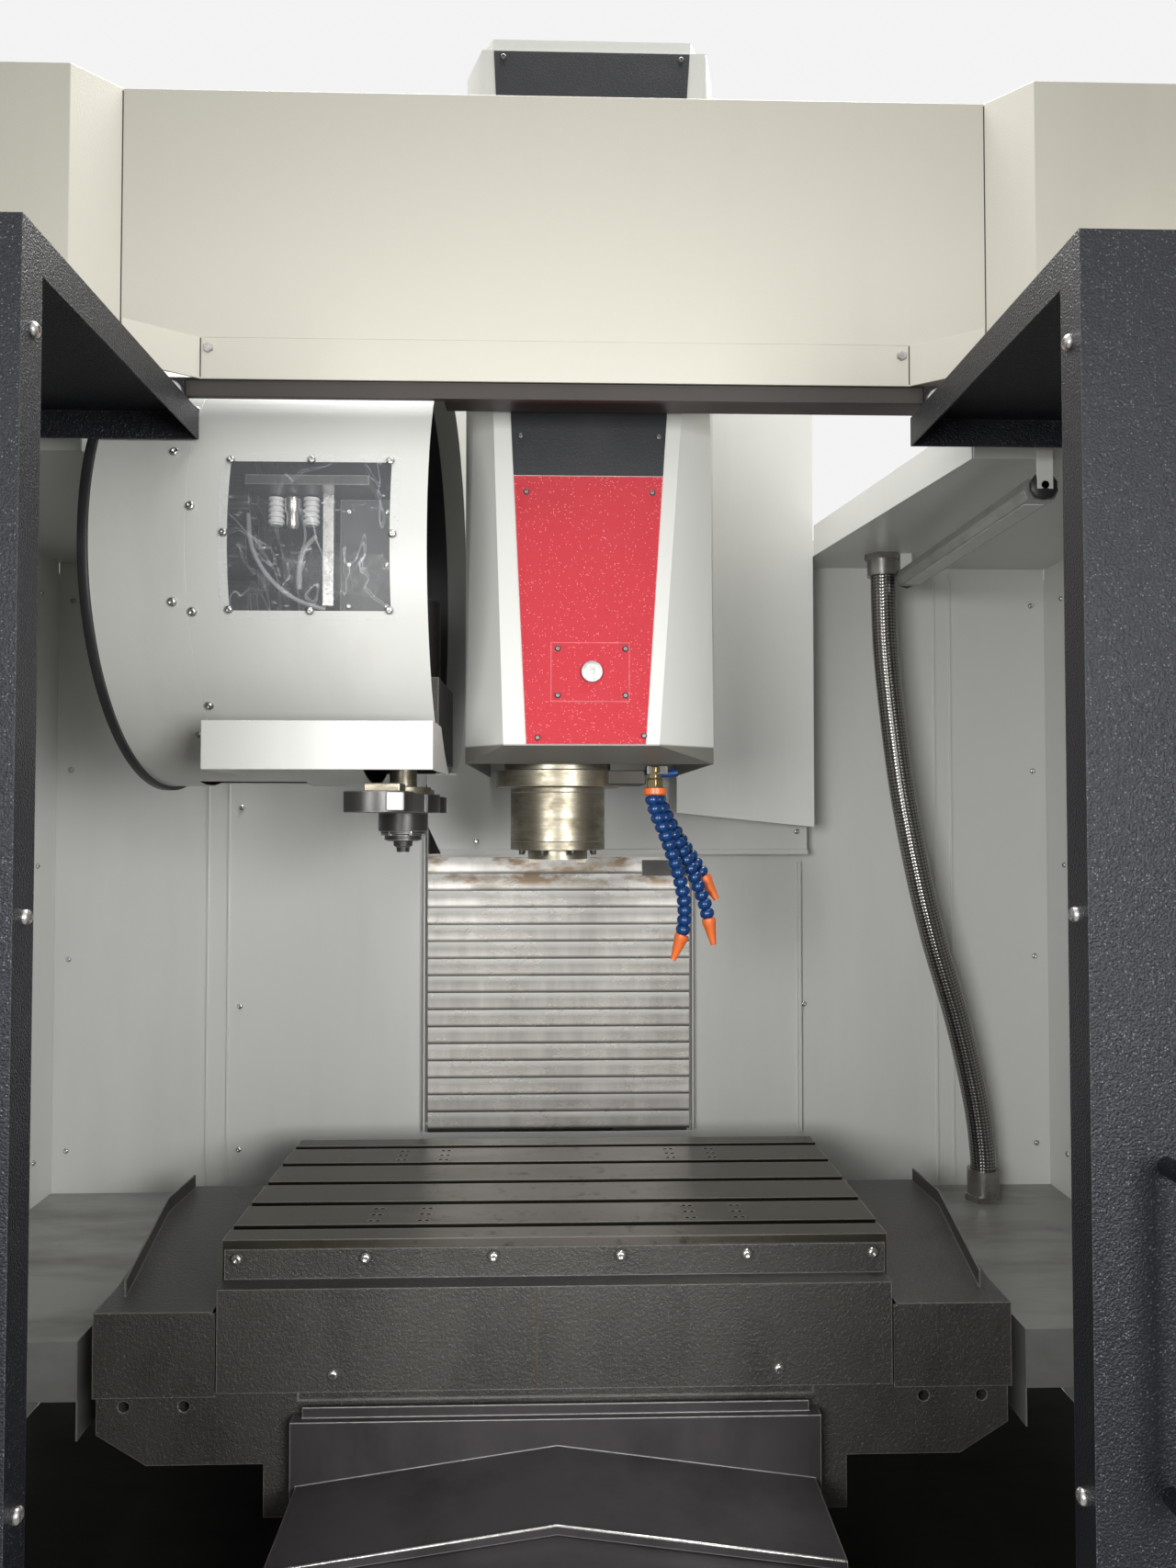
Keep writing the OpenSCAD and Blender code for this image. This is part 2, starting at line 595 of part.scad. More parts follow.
module magazine_disc() color("silver") {
    difference() {
        rod_x([disc_x + 0.3, drum_y, drum_z], pot_ring_r - 24, 10);
        rod_x([disc_x - 1, drum_y, drum_z], 40.3, 20);
        for (a = [0:45:315])
            translate([0, drum_y, drum_z]) rotate([a, 0, 0]) rod_x([disc_x - 1, 150, 0], 40, 20);
    }
    for (i = [1:pot_count - 1])
        translate([0, drum_y, drum_z]) rotate([i * 360 / pot_count, 0, 0])
            translate([0, -drum_y, -drum_z]) {
                tool_pot();
                block([disc_x, drum_y - 18, pot_bottom_z - 20],
                      [disc_x + 10.3, drum_y + 18, pot_bottom_z + 60]);
            }
    // The ears that carry the pot at the change place
    for (y = [-pot_r - 6, pot_r + 2])
        block([pot_pin_x - 8, drum_y + y, pot_pin_z - 8], [disc_x + 10.3, drum_y + y + 4, pot_pin_z + 70]);
    block([disc_x + 1, drum_y - pot_r - 6, pot_pin_z + 58],
          [disc_x + 10.3, drum_y + pot_r + 6, pot_pin_z + 80]);
}
pot_pin_x = -466;
pot_pin_z = pot_bottom_z - 40;
module change_pot() color("silver") {
    tool_pot();
    difference() {
        block([pot_pin_x - 9, drum_y - 14, pot_pin_z - 9],
              [pot_pin_x + 9, drum_y + 14, pot_bottom_z - pot_r + 6]);
        rod_x([disc_x - pot_l - 1, drum_y, pot_bottom_z], pot_r - 12, pot_l - 8);
    }
    rod_y([pot_pin_x, drum_y - pot_r - 1.7, pot_pin_z], 5, 2 * pot_r + 3.4);
}
box_x = [-482, -169];
box_z = [1566, 1633];
module changer_cover() color("whitesmoke") difference() {
    block([box_x[0], drum_y - 322, box_z[0]], [box_x[1], drum_y - 110, box_z[1]]);
    block([box_x[0] + sheet, drum_y - 322 + sheet, box_z[0] - 1],
          [box_x[1] - sheet, drum_y - 109, box_z[1] + 1]);
    rod_x([box_x[0] - 1, drum_y, drum_z], drum_r + gap, box_x[1] - box_x[0] + 2);
}
arm_x = -arm_reach;
cam_z = [1590, 1721.5];
module cam_box() color("dimgray") {
    difference() {
        block([arm_x - 66, -80, cam_z[0]], [arm_x + 66, 150, cam_z[1]]);
        rod_z([arm_x, 0, cam_z[0] - 1], 22.3, 120);
    }
    block([-420, 40, cam_z[0] + 60], [arm_x - 66, 150, cam_z[1]]);
    rod_z([arm_x, 90, cam_z[1]], 50, 150);
}
module arm_shaft() color("silver") {
    rod_z([arm_x, 0, arm_z + arm_t], 22, cam_z[0] + 100 - arm_z - arm_t);
    rod_z([arm_x, 0, arm_z + arm_t], 45, 12);
}
module changer_arm() color("gray") difference() {
    union() {
        raised(arm_z, arm_z + arm_t) for (a = [0, 180]) translate([arm_x, 0]) rotate(a) {
            polygon([[-46, -46], [46, -46], [30, 215], [-30, 215]]);
            translate([0, arm_reach]) circle(r = 50);
        }
        rod_z([arm_x, 0, arm_z - 30], 40, 30);
        rod_z([arm_x, 0, arm_z], 60, arm_t);
    }
    for (a = [0, 180]) translate([arm_x, 0, 0]) rotate(a) {
        rod_z([0, arm_reach, arm_z - 1], 32, arm_t + 2);
        block([0, arm_reach - 24, arm_z - 1], [60, arm_reach + 24, arm_z + arm_t + 2]);
    }
}

// Telescopic gable covers in front of the saddle
y_gap = 127;
y_len = 178;
gable_half = 376;
gable_drop = 52;
gable_z = 592;
module gable(k) {
    z = gable_z - 12 * k;
    half = gable_half - 5 * k;
    top = [[-half, z - gable_drop], [0, z], [half, z - gable_drop]];
    front = -table_front - 55 - k * y_gap - y_len;
    first = k == 3 ? -bed_front : front;
    along_y(first, front + y_len) polygon(concat(top, [
        [half, z - gable_drop - 50], [half - 2, z - gable_drop - 50],
        [half - 2, z - gable_drop - 2.2], [0, z - 2.2], [-half + 2, z - gable_drop - 2.2],
        [-half + 2, z - gable_drop - 50], [-half, z - gable_drop - 50],
    ]));
    if (k < 3) along_y(first, first + 3) polygon(concat(top, [
        [half, z - gable_drop - 11.6], [0, z - 11.6], [-half, z - gable_drop - 11.6],
    ]));
}
module y_cover_base() color("dimgray") {
    gable(3);
    for (x = [-gable_half + 15, gable_half - 20])
        block([x, -bed_front, bed_z], [x + 5, -bed_front + 20, gable_z - 36 - gable_drop - 50]);
}
module y_cover_mid_a() color("dimgray") gable(1);
module y_cover_mid_b() color("dimgray") gable(2);
module y_cover_front() color("dimgray") {
    gable(0);
    plate_y = -table_front - 55;
    along_y(plate_y, plate_y + sheet) difference() {
        translate([-385, 520]) square([770, 110]);
        polygon([[-gable_half + 2, 500], [-gable_half + 2, gable_z - gable_drop - 2.2], [0, gable_z - 2.2],
                 [gable_half - 2, gable_z - gable_drop - 2.2], [gable_half - 2, 500]]);
    }
    block([-385, plate_y + sheet, 627], [385, saddle_front, 630]);
    block([-370, plate_y + 12, 630], [370, plate_y + 15, 645]);
}

module saddle() color("dimgray") difference() {
    union() {
        block([-50, 62, screw_y_z - 40], [50, 158, saddle_z]);
        along_y(saddle_front, saddle_rear) polygon([
            [-430, saddle_z], [430, saddle_z], [430, 555], [600, 555], [saddle_half_w - 4, 600],
            [saddle_half_w - 4, saddle_top - 45], [saddle_half_w - 30, saddle_top],
            [-saddle_half_w + 30, saddle_top], [-saddle_half_w + 4, saddle_top - 45],
            [-saddle_half_w + 4, 600], [-600, 555], [-430, 555],
        ]);
    }
    block([-100, saddle_front - 1, saddle_z - 1], [100, 60, saddle_z + 110]);
    block([-100, 160, saddle_z - 1], [100, saddle_rear + 1, saddle_z + 110]);
    rod_y([0, 59, screw_y_z], screw_r + 0.3, 102);
    for (x = [-633, -546, 546, 633]) rod_y([x, saddle_front - 1, 640], 8, 30);
    block([-380, saddle_front - 1, 646], [380, saddle_front + 2, 660]);
}
module x_drive() color("silver") {
    for (y = x_rail_y)
        block([-640, y - rail_w / 2, saddle_top], [640, y + rail_w / 2, saddle_top + rail_h]);
    rod_x([-600, x_screw_y, saddle_top + 38], screw_r - 2, 1200);
    for (x = [-640, 600]) block([x, x_screw_y - 45, saddle_top], [x + 40, x_screw_y + 45, saddle_top + 70]);
    // Trucks of the Y ways under the saddle and of the ball nut stay with the saddle
    for (x = [-rail_x, rail_x], y = [saddle_front + 20, saddle_rear - 160]) difference() {
        block([x - 50, y, bed_z + 8], [x + 50, y + 140, saddle_z]);
        block([x - rail_w / 2 - gap, y - 1, bed_z + 7],
              [x + rail_w / 2 + gap, y + 141, bed_z + rail_h + gap]);
    }
}
wing_in = 505;
strip_path = [[653, -111], [714, 243], [708, 372]];
module x_covers() color("dimgray") for (s = [-1, 1]) mirror([s < 0 ? 1 : 0, 0, 0]) {
    outer = [[saddle_half_w, saddle_front - 5], [saddle_half_w, -75], [714, 243], [708, 380]];
    raised(wing_z - sheet, wing_z)
        polygon(concat([[wing_in, saddle_front - 5]], outer, [[wing_in, 380]]));
    block([wing_in - 5, saddle_front - 5, 655], [saddle_half_w, saddle_front, wing_z - sheet]);
    block([saddle_half_w - 4, saddle_front, 655], [saddle_half_w, saddle_rear, wing_z - sheet]);
    raised(wing_z, wing_z + strip_h) polygon(concat(strip_path,
        [for (i = [2:-1:0]) strip_path[i] - [3, 0]]));
}

table_y = [-table_front, -table_front + table_d];
module t_slot(y) {
    block([-table_l / 2 - 1, y - slot_w / 2, table_z - 30], [table_l / 2 + 1, y + slot_w / 2, table_z + 1]);
    block([-table_l / 2 - 1, y - 15, table_z - 30], [table_l / 2 + 1, y + 15, table_z - 18]);
}
hole_x = [-287, -210, 210, 287];
hole_y = [slot_pitch / 2, 3.5 * slot_pitch];
module table() color("silver") {
    first_slot = table_y[0] + (table_d - (slot_count - 1) * slot_pitch) / 2;
    difference() {
        block([-table_l / 2, table_y[0], table_z - table_t], [table_l / 2, table_y[1], table_z]);
        for (i = [0:slot_count - 1]) t_slot(first_slot + i * slot_pitch);
        for (x = hole_x, y = hole_y, dx = [-5.5, 5.5], dy = [-26, 0, 26])
            rod_z([x + dx, first_slot + y + dy, table_z - 20], 4, 21, $fn = 16);
    }
    difference() {
        block([-95, table_y[0] + 35, saddle_top + rail_h + gap], [95, table_y[1] - 35, table_z - table_t]);
        rod_x([-96, x_screw_y, saddle_top + 38], screw_r - 1.7, 192);
    }
    for (y = x_rail_y) difference() {
        block([-95, y - 50, saddle_top + 8], [95, y + 50, saddle_top + rail_h + gap]);
        block([-96, y - rail_w / 2 - gap, saddle_top + 7],
              [96, y + rail_w / 2 + gap, saddle_top + rail_h + gap]);
    }
    difference() {
        block([-60, x_screw_y - 38, saddle_top + 4], [60, x_screw_y + 38, saddle_top + rail_h + gap]);
        rod_x([-61, x_screw_y, saddle_top + 38], screw_r - 1.7, 122);
    }
}
module table_apron() color("dimgray") {
    block([-table_l / 2 + 5, table_y[0] - 5, table_z - 56], [table_l / 2 - 5, table_y[0], table_z - 12]);
    block([-table_l / 2 + 5, table_y[0] - 40, table_z - 60], [table_l / 2 - 5, table_y[0], table_z - 56]);
    block([-table_l / 2 + 5, table_y[0] - 40, table_z - 58 - apron_h],
          [table_l / 2 - 5, table_y[0] - 40 + sheet, table_z - 60]);
    for (i = [-2.5:2.5]) rod_y([i * table_l * 0.19, table_y[0] - 9, table_z - 25], 6, 4);
    for (i = [-1, 1]) rod_y([i * table_l * 0.326, table_y[0] - 44, table_z - 180], 6, 4);
}

// Spindle head
head_l = head_mid - head_w / 2;
head_r = head_mid + head_w / 2;
slide_y = column_y - rail_h - gap;
motor_base_z = 2060;
motor_z = [2120, 2480];
motor_half = 105;
nut_z = [1800, 1960];
module head_casting() color("dimgray") {
    difference() {
        block([-120, -95, head_z + 60], [120, wall_y - 30, motor_base_z]);
        rod_z([0, 0, head_z], nose_d / 2 + 10, 500);
    }
    difference() {
        block([-235, wall_y - 30, head_z + 20], [235, slide_y, 2240]);
        rod_z([0, z_screw_y, head_z], screw_r + 0.3, 800);
        block([-60, z_screw_y - 30, head_z + 19], [60, slide_y + 1, nut_z[0]]);
        block([-60, z_screw_y - 30, nut_z[1]], [60, slide_y + 1, 2241]);
    }
    for (x = [-z_rail_x, z_rail_x], z = [head_z + 60, 2080]) difference() {
        block([x - 45, slide_y, z], [x + 45, column_y - 8, z + 140]);
        block([x - rail_w / 2 - gap, slide_y - 1, z - 1], [x + rail_w / 2 + gap, column_y, z + 141]);
    }
    difference() {
        block([-70, slide_y, nut_z[0]], [70, column_y - 4, nut_z[1]]);
        rod_z([0, z_screw_y, 1799], screw_r + 0.3, 162);
    }
    // Brackets that carry the cover
    for (z = [1700, 2000]) {
        block([head_l + sheet, 0, z], [-120, 60, z + 40]);
        block([120, 0, z], [head_r - sheet, 60, z + 40]);
    }
}
module head_plan(face_l, face_r, inset) polygon([
    [head_l + inset, slide_y - 70], [head_l + inset, -head_face + 70],
    [face_l + inset / 2, -head_face + inset],
    [face_r - inset / 2, -head_face + inset], [head_r - inset, -head_face + 70],
    [head_r - inset, slide_y - 70],
]);
module head_form(inset) hull() {
    raised(head_z + 24, head_z + 25) head_plan(-81, 152, inset);
    raised(head_top - 26, head_top - 25) head_plan(-115, 225, inset);
}
module head_rim(inset) hull() {
    raised(head_z + 24, head_z + 25) head_plan(-81, 152, inset);
    raised(head_z - (inset > 0 ? 1 : 0), head_z + 1) translate([head_l + inset, -head_face + 70 + inset])
        square([head_w - 2 * inset, head_face + slide_y - 140 - inset]);
}
module head_cover() color("whitesmoke") {
    difference() {
        union() {
            head_form(0);
            head_rim(0);
            raised(head_top - 25, head_top) head_plan(-105, 209, 12);
        }
        translate([0, 0, -1]) intersection() {
            head_form(sheet);
            block([-500, -500, 0], [500, slide_y - 69, head_top - 30]);
        }
        head_rim(sheet);
        block([head_l + sheet, slide_y - 90, head_z - 1], [head_r - sheet, slide_y - 60, head_top - 60]);
    }
}
panel_t = 2;
function face_l(z) = -47 - (z - 1608) * 0.0478;
function face_r(z) = 132 + (z - 1608) * 0.0645;
module head_panel(z0, z1) along_y(-head_face - panel_t, -head_face)
    polygon([[face_l(z0), z0], [face_r(z0), z0], [face_r(z1), z1], [face_l(z1), z1]]);
module head_red_panel() color("crimson") {
    head_panel(head_z + 26, panel_seam_z - gap);
    block([-10, -head_face - panel_t - 2, 1674], [107, -head_face - panel_t, 1762]);
    rod_y([51, -head_face - panel_t - 8, 1718], 15, 6);
}
module head_black_panel() color("black") head_panel(panel_seam_z + gap, head_top - 27);
module spindle_motor() color("dimgray") {
    rod_z([0, 0, motor_base_z], motor_half + 10, motor_z[0] - motor_base_z);
    block([-motor_half, -motor_half, motor_z[0]], [motor_half, motor_half, motor_z[1]]);
}
module spindle_cartridge() color("silver") difference() {
    union() {
        rod_z([0, 0, 1448], nose_d / 2, 450);
        rod_z([0, 0, 1549], flange_d / 2, 27);
        block([0, -60, 1553], [141, 60, 1576]);
        rod_z([0, 0, 1576], nose_d / 2 + 10, 480);
    }
    rod_z([0, 0, 1440], shaft_d / 2 + 0.3, 621);
}
module spindle_shaft() color("silver") difference() {
    union() {
        rod_z([0, 0, nose_z], shaft_d / 2, 620);
        for (x = [-1, 1]) block([x * 38 - 8, -8, nose_z - 6], [x * 38 + 8, 8, nose_z]);
    }
    translate([0, 0, nose_z - 1]) cylinder(r1 = 23, r2 = 12.5, h = 68);
    rod_z([0, 0, nose_z - 1], 10, 300);
}
apron_low = 1422;
slat_y = 521.3;
slat_lap = 6;
apron_x = [-271, 527];
apron_left = -244;
apron_step_z = 1480;
apron_top = 2370;
module head_apron() color("gainsboro") {
    along_y(498, 501) difference() {
        polygon([
            [apron_left, apron_low], [apron_x[1], apron_low], [apron_x[1], apron_top],
            [apron_x[0], apron_top], [apron_x[0], apron_step_z],
        ]);
        translate([-120, head_z + 60]) square([240, motor_base_z - head_z - 60]);
    }
    block([apron_left, 488, apron_low], [apron_x[1], 498, apron_low + 10]);
    // The guard on the right of the head
    along_y(430, 433) polygon([
        [head_r + 0.3, 1509], [apron_x[1], apron_step_z], [apron_x[1], apron_top], [head_r + 0.3, apron_top],
    ]);
    block([apron_x[1] - 3, 433, apron_step_z], [apron_x[1], 498, apron_top]);
    // Brackets to the head casting
    for (z = [1700, 2100]) block([-235, 501, z], [-200, wall_y - 30, z + 60]);
    // Clamp strip of the slat cover
    block([apron_left, 501, apron_low - slat_lap], [240, slat_y, apron_low + 10]);
}

coolant_at = [147, -60, 1566];
link_h = 13;
module coolant_hose(shift, turn, lean, links) translate(coolant_at + shift) rotate([0, 0, turn])
    rotate([0, lean, 0]) rotate([180, 0, 0]) {
        rotate_extrude($fn = 24) polygon(concat([[0, 0]],
            [for (i = [0:links - 1])
                each [[8, i * link_h], [11, i * link_h + 5], [8, (i + 1) * link_h - 1]]],
            [[9, links * link_h], [4, links * link_h + 34], [0, links * link_h + 34]]));
    }
module coolant_lines() color("royalblue") {
    block([141, -88, 1553], [196, -42, head_z]);
    coolant_hose([8, -12, -14], -8, -8, 18);
    coolant_hose([26, -12, -14], 4, -12, 17);
    coolant_hose([43, 4, -14], -2, -18, 12);
}

// Slat covers behind the table
slats = 4;
slat_pitch_y = 3.2;
module z_slats(k) {
    y = slat_y + slat_pitch_y * k;
    z = slat_z + (4 - k) * slat_rise;
    along_x(slat_mid - slat_w / 2, slat_mid + slat_w / 2) polygon(concat(
        [for (i = [0:slats - 1]) each [[y - 1.2, z + i * slat_h], [y, z + (i + 1) * slat_h]]],
        [[y, z + slats * slat_h + slat_lap], [y + 1.4, z + slats * slat_h + slat_lap], [y + 1.4, z]]));
}
module z_cover_top() color("silver") z_slats(0);
module z_cover_high() color("silver") z_slats(1);
module z_cover_mid() color("silver") z_slats(2);
module z_cover_low() color("silver") z_slats(3);
module z_cover_base() color("silver") {
    z_slats(4);
    block([wall_hole_l + 1, slat_y + 4 * slat_pitch_y + 1.4, slat_z + 10],
          [wall_hole_r - 1, wall_y, slat_z + 14]);
}

// Front doors, drawn open
roof_rear = -297;
module door_leaf() {
    lead = doorway_w / 2;
    low = door_z + 3;
    difference() {
        block([lead, -door_face, low], [lead + door_w, -door_face + door_t, door_top]);
        block([lead + 2, -door_face + 2, low + 2],
              [lead + door_w - 2, -door_face + door_t + 1, door_top - 2]);
        block([lead + 130, -door_face - 1, 1200], [lead + door_w - 90, -door_face + 5, 1850]);
    }
    block([lead, -door_face + door_t, door_top - 2], [lead + door_w, roof_rear, door_top]);
    block([lead, -door_face + door_t, door_top - 40], [lead + 2, roof_rear, door_top - 2]);
    block([lead + 2, roof_rear - 2, door_top - 40], [lead + door_w, roof_rear, door_top - 2]);
    // Hangers on the upper rail
    for (x = [lead + 20, lead + door_w - 120]) difference() {
        block([x, rail_y - 2 * rail_half, door_top - 2],
              [x + 80, rail_y + 2 * rail_half - 1, band_z - gap]);
        block([x - 1, rail_y - rail_half - 0.4, band_z - 22.4],
              [x + 81, rail_y + rail_half + 0.4, band_z]);
    }
}
module door_window() color("slategray") {
    lead = doorway_w / 2;
    block([lead + 120, -door_face + 2, 1190], [lead + door_w - 80, -door_face + 6, 1860]);
}
module door_handle(x) {
    for (z = [880, 1180]) rod_y([x, -door_face - 45, z], 9, 45);
    rod_z([x, -door_face - 45, 870], 11, 320);
}
module door_left() color("#3a3d42") mirror([1, 0, 0]) {
    door_leaf();
    door_window();
    door_handle(doorway_w / 2 + 70);
}
module door_right() color("#3a3d42") {
    door_leaf();
    door_window();
    door_handle(doorway_w / 2 + 70);
}

bed();
column();
levelling_feet();
axis_drives();
chip_trays();
back_wall();
side_left();
side_right();
upper_housing();
header_band();
door_rails();
front_panels();
roof_panels();
hose_fittings();
cable_conduit();
electrical_cabinet();
cabinet_gear();
cabinet_door();
pendant_arm();
pendant_box();
pendant_face();
emergency_button();
handwheel();
coolant_tank();
work_lamp();
magazine_frame();
magazine_cover();
magazine_end_cover();
magazine_window();
magazine_disc();
change_pot();
changer_cover();
cam_box();
arm_shaft();
changer_arm();
y_cover_base();
y_cover_mid_a();
y_cover_mid_b();
y_cover_front();
saddle();
x_drive();
x_covers();
table();
table_apron();
head_casting();
head_cover();
head_red_panel();
head_black_panel();
spindle_motor();
spindle_cartridge();
spindle_shaft();
head_apron();
coolant_lines();
z_cover_base();
z_cover_low();
z_cover_mid();
z_cover_high();
z_cover_top();
door_left();
door_right();
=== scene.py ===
import json
import math

import bpy
from mathutils import Matrix, Vector


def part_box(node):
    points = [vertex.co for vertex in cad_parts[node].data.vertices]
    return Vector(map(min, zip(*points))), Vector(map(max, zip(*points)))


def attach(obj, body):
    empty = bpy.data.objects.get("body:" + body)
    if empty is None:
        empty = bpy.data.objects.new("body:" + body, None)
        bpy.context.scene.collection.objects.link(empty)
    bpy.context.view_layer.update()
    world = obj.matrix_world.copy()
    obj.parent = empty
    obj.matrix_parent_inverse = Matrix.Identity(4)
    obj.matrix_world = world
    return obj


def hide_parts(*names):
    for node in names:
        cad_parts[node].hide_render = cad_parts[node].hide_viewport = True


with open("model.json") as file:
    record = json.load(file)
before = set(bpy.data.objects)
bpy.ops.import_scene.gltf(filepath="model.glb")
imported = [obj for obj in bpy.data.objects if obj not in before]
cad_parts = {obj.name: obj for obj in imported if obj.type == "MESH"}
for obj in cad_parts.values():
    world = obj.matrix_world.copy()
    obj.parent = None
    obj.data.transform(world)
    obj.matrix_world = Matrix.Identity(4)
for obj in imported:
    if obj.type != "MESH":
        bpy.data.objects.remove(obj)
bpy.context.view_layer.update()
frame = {"nodes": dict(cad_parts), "record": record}
bpy.ops.object.select_all(action="DESELECT")

# The viewpoint: an operator a metre in front of the open doors, with the eyes level with the spindle
# nose, looking slightly up and to the right through a wide lens.
eye = Vector((0.0, -1.79, 1.505))
look_right, look_up = math.radians(1.6), math.radians(1.62)
lens = bpy.data.cameras.new("operator_view")
lens.sensor_width = 36.0
lens.lens = 24.95
lens.clip_end = 60.0
camera = bpy.data.objects.new("operator_view", lens)
camera.location = eye
camera.rotation_euler = (math.radians(90) + look_up, 0.0, -look_right)
bpy.context.scene.collection.objects.link(camera)
bpy.context.scene.camera = camera

# The service conduit: a stainless braid over a plastic hose, 50 mm across. It hangs stiffly from a
# gland in the roof and bends down to a gland in the right tray.
conduit_d = 0.050
conduit_route = [
    (0.670, 0.420, 2.010), (0.670, 0.420, 1.975), (0.671, 0.419, 1.920), (0.672, 0.417, 1.860),
    (0.676, 0.415, 1.800), (0.681, 0.413, 1.740), (0.688, 0.411, 1.670), (0.695, 0.410, 1.610),
    (0.704, 0.409, 1.545), (0.715, 0.409, 1.480), (0.728, 0.410, 1.415), (0.742, 0.412, 1.350),
    (0.757, 0.415, 1.290), (0.775, 0.419, 1.225), (0.795, 0.425, 1.165), (0.814, 0.432, 1.108),
    (0.831, 0.439, 1.050), (0.847, 0.446, 0.990), (0.861, 0.451, 0.930), (0.872, 0.454, 0.870),
    (0.878, 0.455, 0.815), (0.880, 0.455, 0.785), (0.880, 0.455, 0.760),
]


def add(tree, kind, values=None, **settings):
    """A shader node with its settings, and with its sockets set or linked."""
    node = tree.nodes.new("ShaderNode" + kind)
    for key, value in settings.items():
        setattr(node, key, value)
    for key, value in (values or {}).items():
        if isinstance(value, bpy.types.NodeSocket):
            tree.links.new(value, node.inputs[key])
        else:
            node.inputs[key].default_value = value
    return node


def calc(tree, operation, *values):
    """The result of one Math node."""
    return add(tree, "Math", dict(enumerate(values)), operation=operation).outputs[0]


def ramp(tree, value, given=(0, 1), wanted=(0, 1)):
    """A value led from one range to another, and held at its ends."""
    ends = {"From Min": given[0], "From Max": given[1], "To Min": wanted[0], "To Max": wanted[1]}
    return add(tree, "MapRange", {"Value": value, **ends}).outputs["Result"]


def blend(tree, amount, first, second):
    """Two colours mixed by a mask."""
    mix = add(tree, "Mix", data_type="RGBA")
    tree.links.new(amount, mix.inputs["Factor"])
    for socket, value in ((mix.inputs["A"], first), (mix.inputs["B"], second)):
        if isinstance(value, bpy.types.NodeSocket):
            tree.links.new(value, socket)
        else:
            socket.default_value = (*value, 1.0)
    return mix.outputs["Result"]


def bare_material(name, roughness, metallic):
    """A material with only a Principled shader."""
    mat = bpy.data.materials.new(name)
    mat.use_nodes = True
    tree = mat.node_tree
    tree.nodes.clear()
    out = add(tree, "OutputMaterial")
    shader = add(tree, "BsdfPrincipled", {"Roughness": roughness, "Metallic": metallic})
    tree.links.new(shader.outputs["BSDF"], out.inputs["Surface"])
    return mat, tree, shader


def activate(piece):
    """Makes a piece the only selected and the active one."""
    bpy.ops.object.select_all(action="DESELECT")
    piece.select_set(True)
    bpy.context.view_layer.objects.active = piece


def finish(piece, material, body, slot, *nodes):
    """Gives a piece its material and its body, and hides the nodes it stands for. The slot is not used."""
    piece.data.materials.clear()
    piece.data.materials.append(material)
    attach(piece, body)
    if nodes:
        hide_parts(*nodes)
    return piece


def smooth_path(points, rounds):
    """The route with its corners cut, so that it bends evenly."""
    path = [Vector(p) for p in points]
    for _ in range(rounds):
        cut = [q for a, b in zip(path, path[1:]) for q in (a.lerp(b, 0.25), a.lerp(b, 0.75))]
        path = [path[0]] + cut + [path[-1]]
    return path


def hose(name, points, radius, sides=20, rounds=1):
    """A round hose along a route: a ring of corners at each point, its length laid out in UV."""
    path = smooth_path(points, rounds)
    mesh = bpy.data.meshes.new(name)
    verts, faces, run, runs = [], [], 0.0, []
    side = Vector((1, 0, 0))
    for i, at in enumerate(path):
        ahead = (path[min(i + 1, len(path) - 1)] - path[max(i - 1, 0)]).normalized()
        side = (side - ahead * side.dot(ahead)).normalized()
        up = ahead.cross(side)
        run += (at - path[i - 1]).length if i else 0.0
        runs.append(run)
        for k in range(sides):
            turn = 2 * math.pi * k / sides
            verts.append(at + radius * (math.cos(turn) * side + math.sin(turn) * up))
    for i in range(len(path) - 1):
        for k in range(sides):
            n = (k + 1) % sides
            faces.append((i * sides + k, i * sides + n, (i + 1) * sides + n, (i + 1) * sides + k))
    faces.append(tuple(reversed(range(sides))))
    faces.append(tuple((len(path) - 1) * sides + k for k in range(sides)))
    mesh.from_pydata(verts, [], faces)
    uv = mesh.uv_layers.new(name="along")
    for face in mesh.polygons[:-2]:
        i, k = divmod(face.index, sides)
        corners = ((runs[i], k), (runs[i], k + 1), (runs[i + 1], k + 1), (runs[i + 1], k))
        for loop, (u, v) in zip(face.loop_indices, corners):
            uv.data[loop].uv = (u, v / sides)
    piece = bpy.data.objects.new(name, mesh)
    bpy.context.scene.collection.objects.link(piece)
    activate(piece)
    bpy.ops.object.shade_smooth_by_angle(angle=math.radians(50))
    return piece, run


def braid():
    """Two sets of crossing wire bundles, laid out on the hose's own UV map."""
    mat, tree, shader = bare_material("braided_steel", 0.26, 0.95)
    uv = add(tree, "UVMap", uv_map="along")
    place = add(tree, "SeparateXYZ", {"Vector": uv.outputs["UV"]})
    along = calc(tree, "MULTIPLY", place.outputs["X"], 150.0)
    around = calc(tree, "MULTIPLY", place.outputs["Y"], 22.0)
    bundles = []
    for turn in ("ADD", "SUBTRACT"):
        slant = calc(tree, turn, along, around)
        bundles.append(calc(tree, "PINGPONG", slant, 1.0))
    highest = calc(tree, "MAXIMUM", *bundles)
    crossing = calc(tree, "MULTIPLY", *bundles)
    weave = calc(tree, "SUBTRACT", highest, crossing)
    depth = ramp(tree, weave, (0.1, 0.75))
    relief = add(tree, "Bump", {"Height": weave, "Strength": 0.7, "Distance": 0.0012})
    tree.links.new(blend(tree, depth, (0.060, 0.056, 0.052), (0.42, 0.41, 0.39)), shader.inputs["Base Color"])
    tree.links.new(relief.outputs["Normal"], shader.inputs["Normal"])
    return mat


conduit, conduit_length = hose("braided_conduit", conduit_route, conduit_d / 2, sides=28, rounds=2)
braided_steel = braid()
finish(conduit, braided_steel, "machine_base", "braided_steel", "cable_conduit")

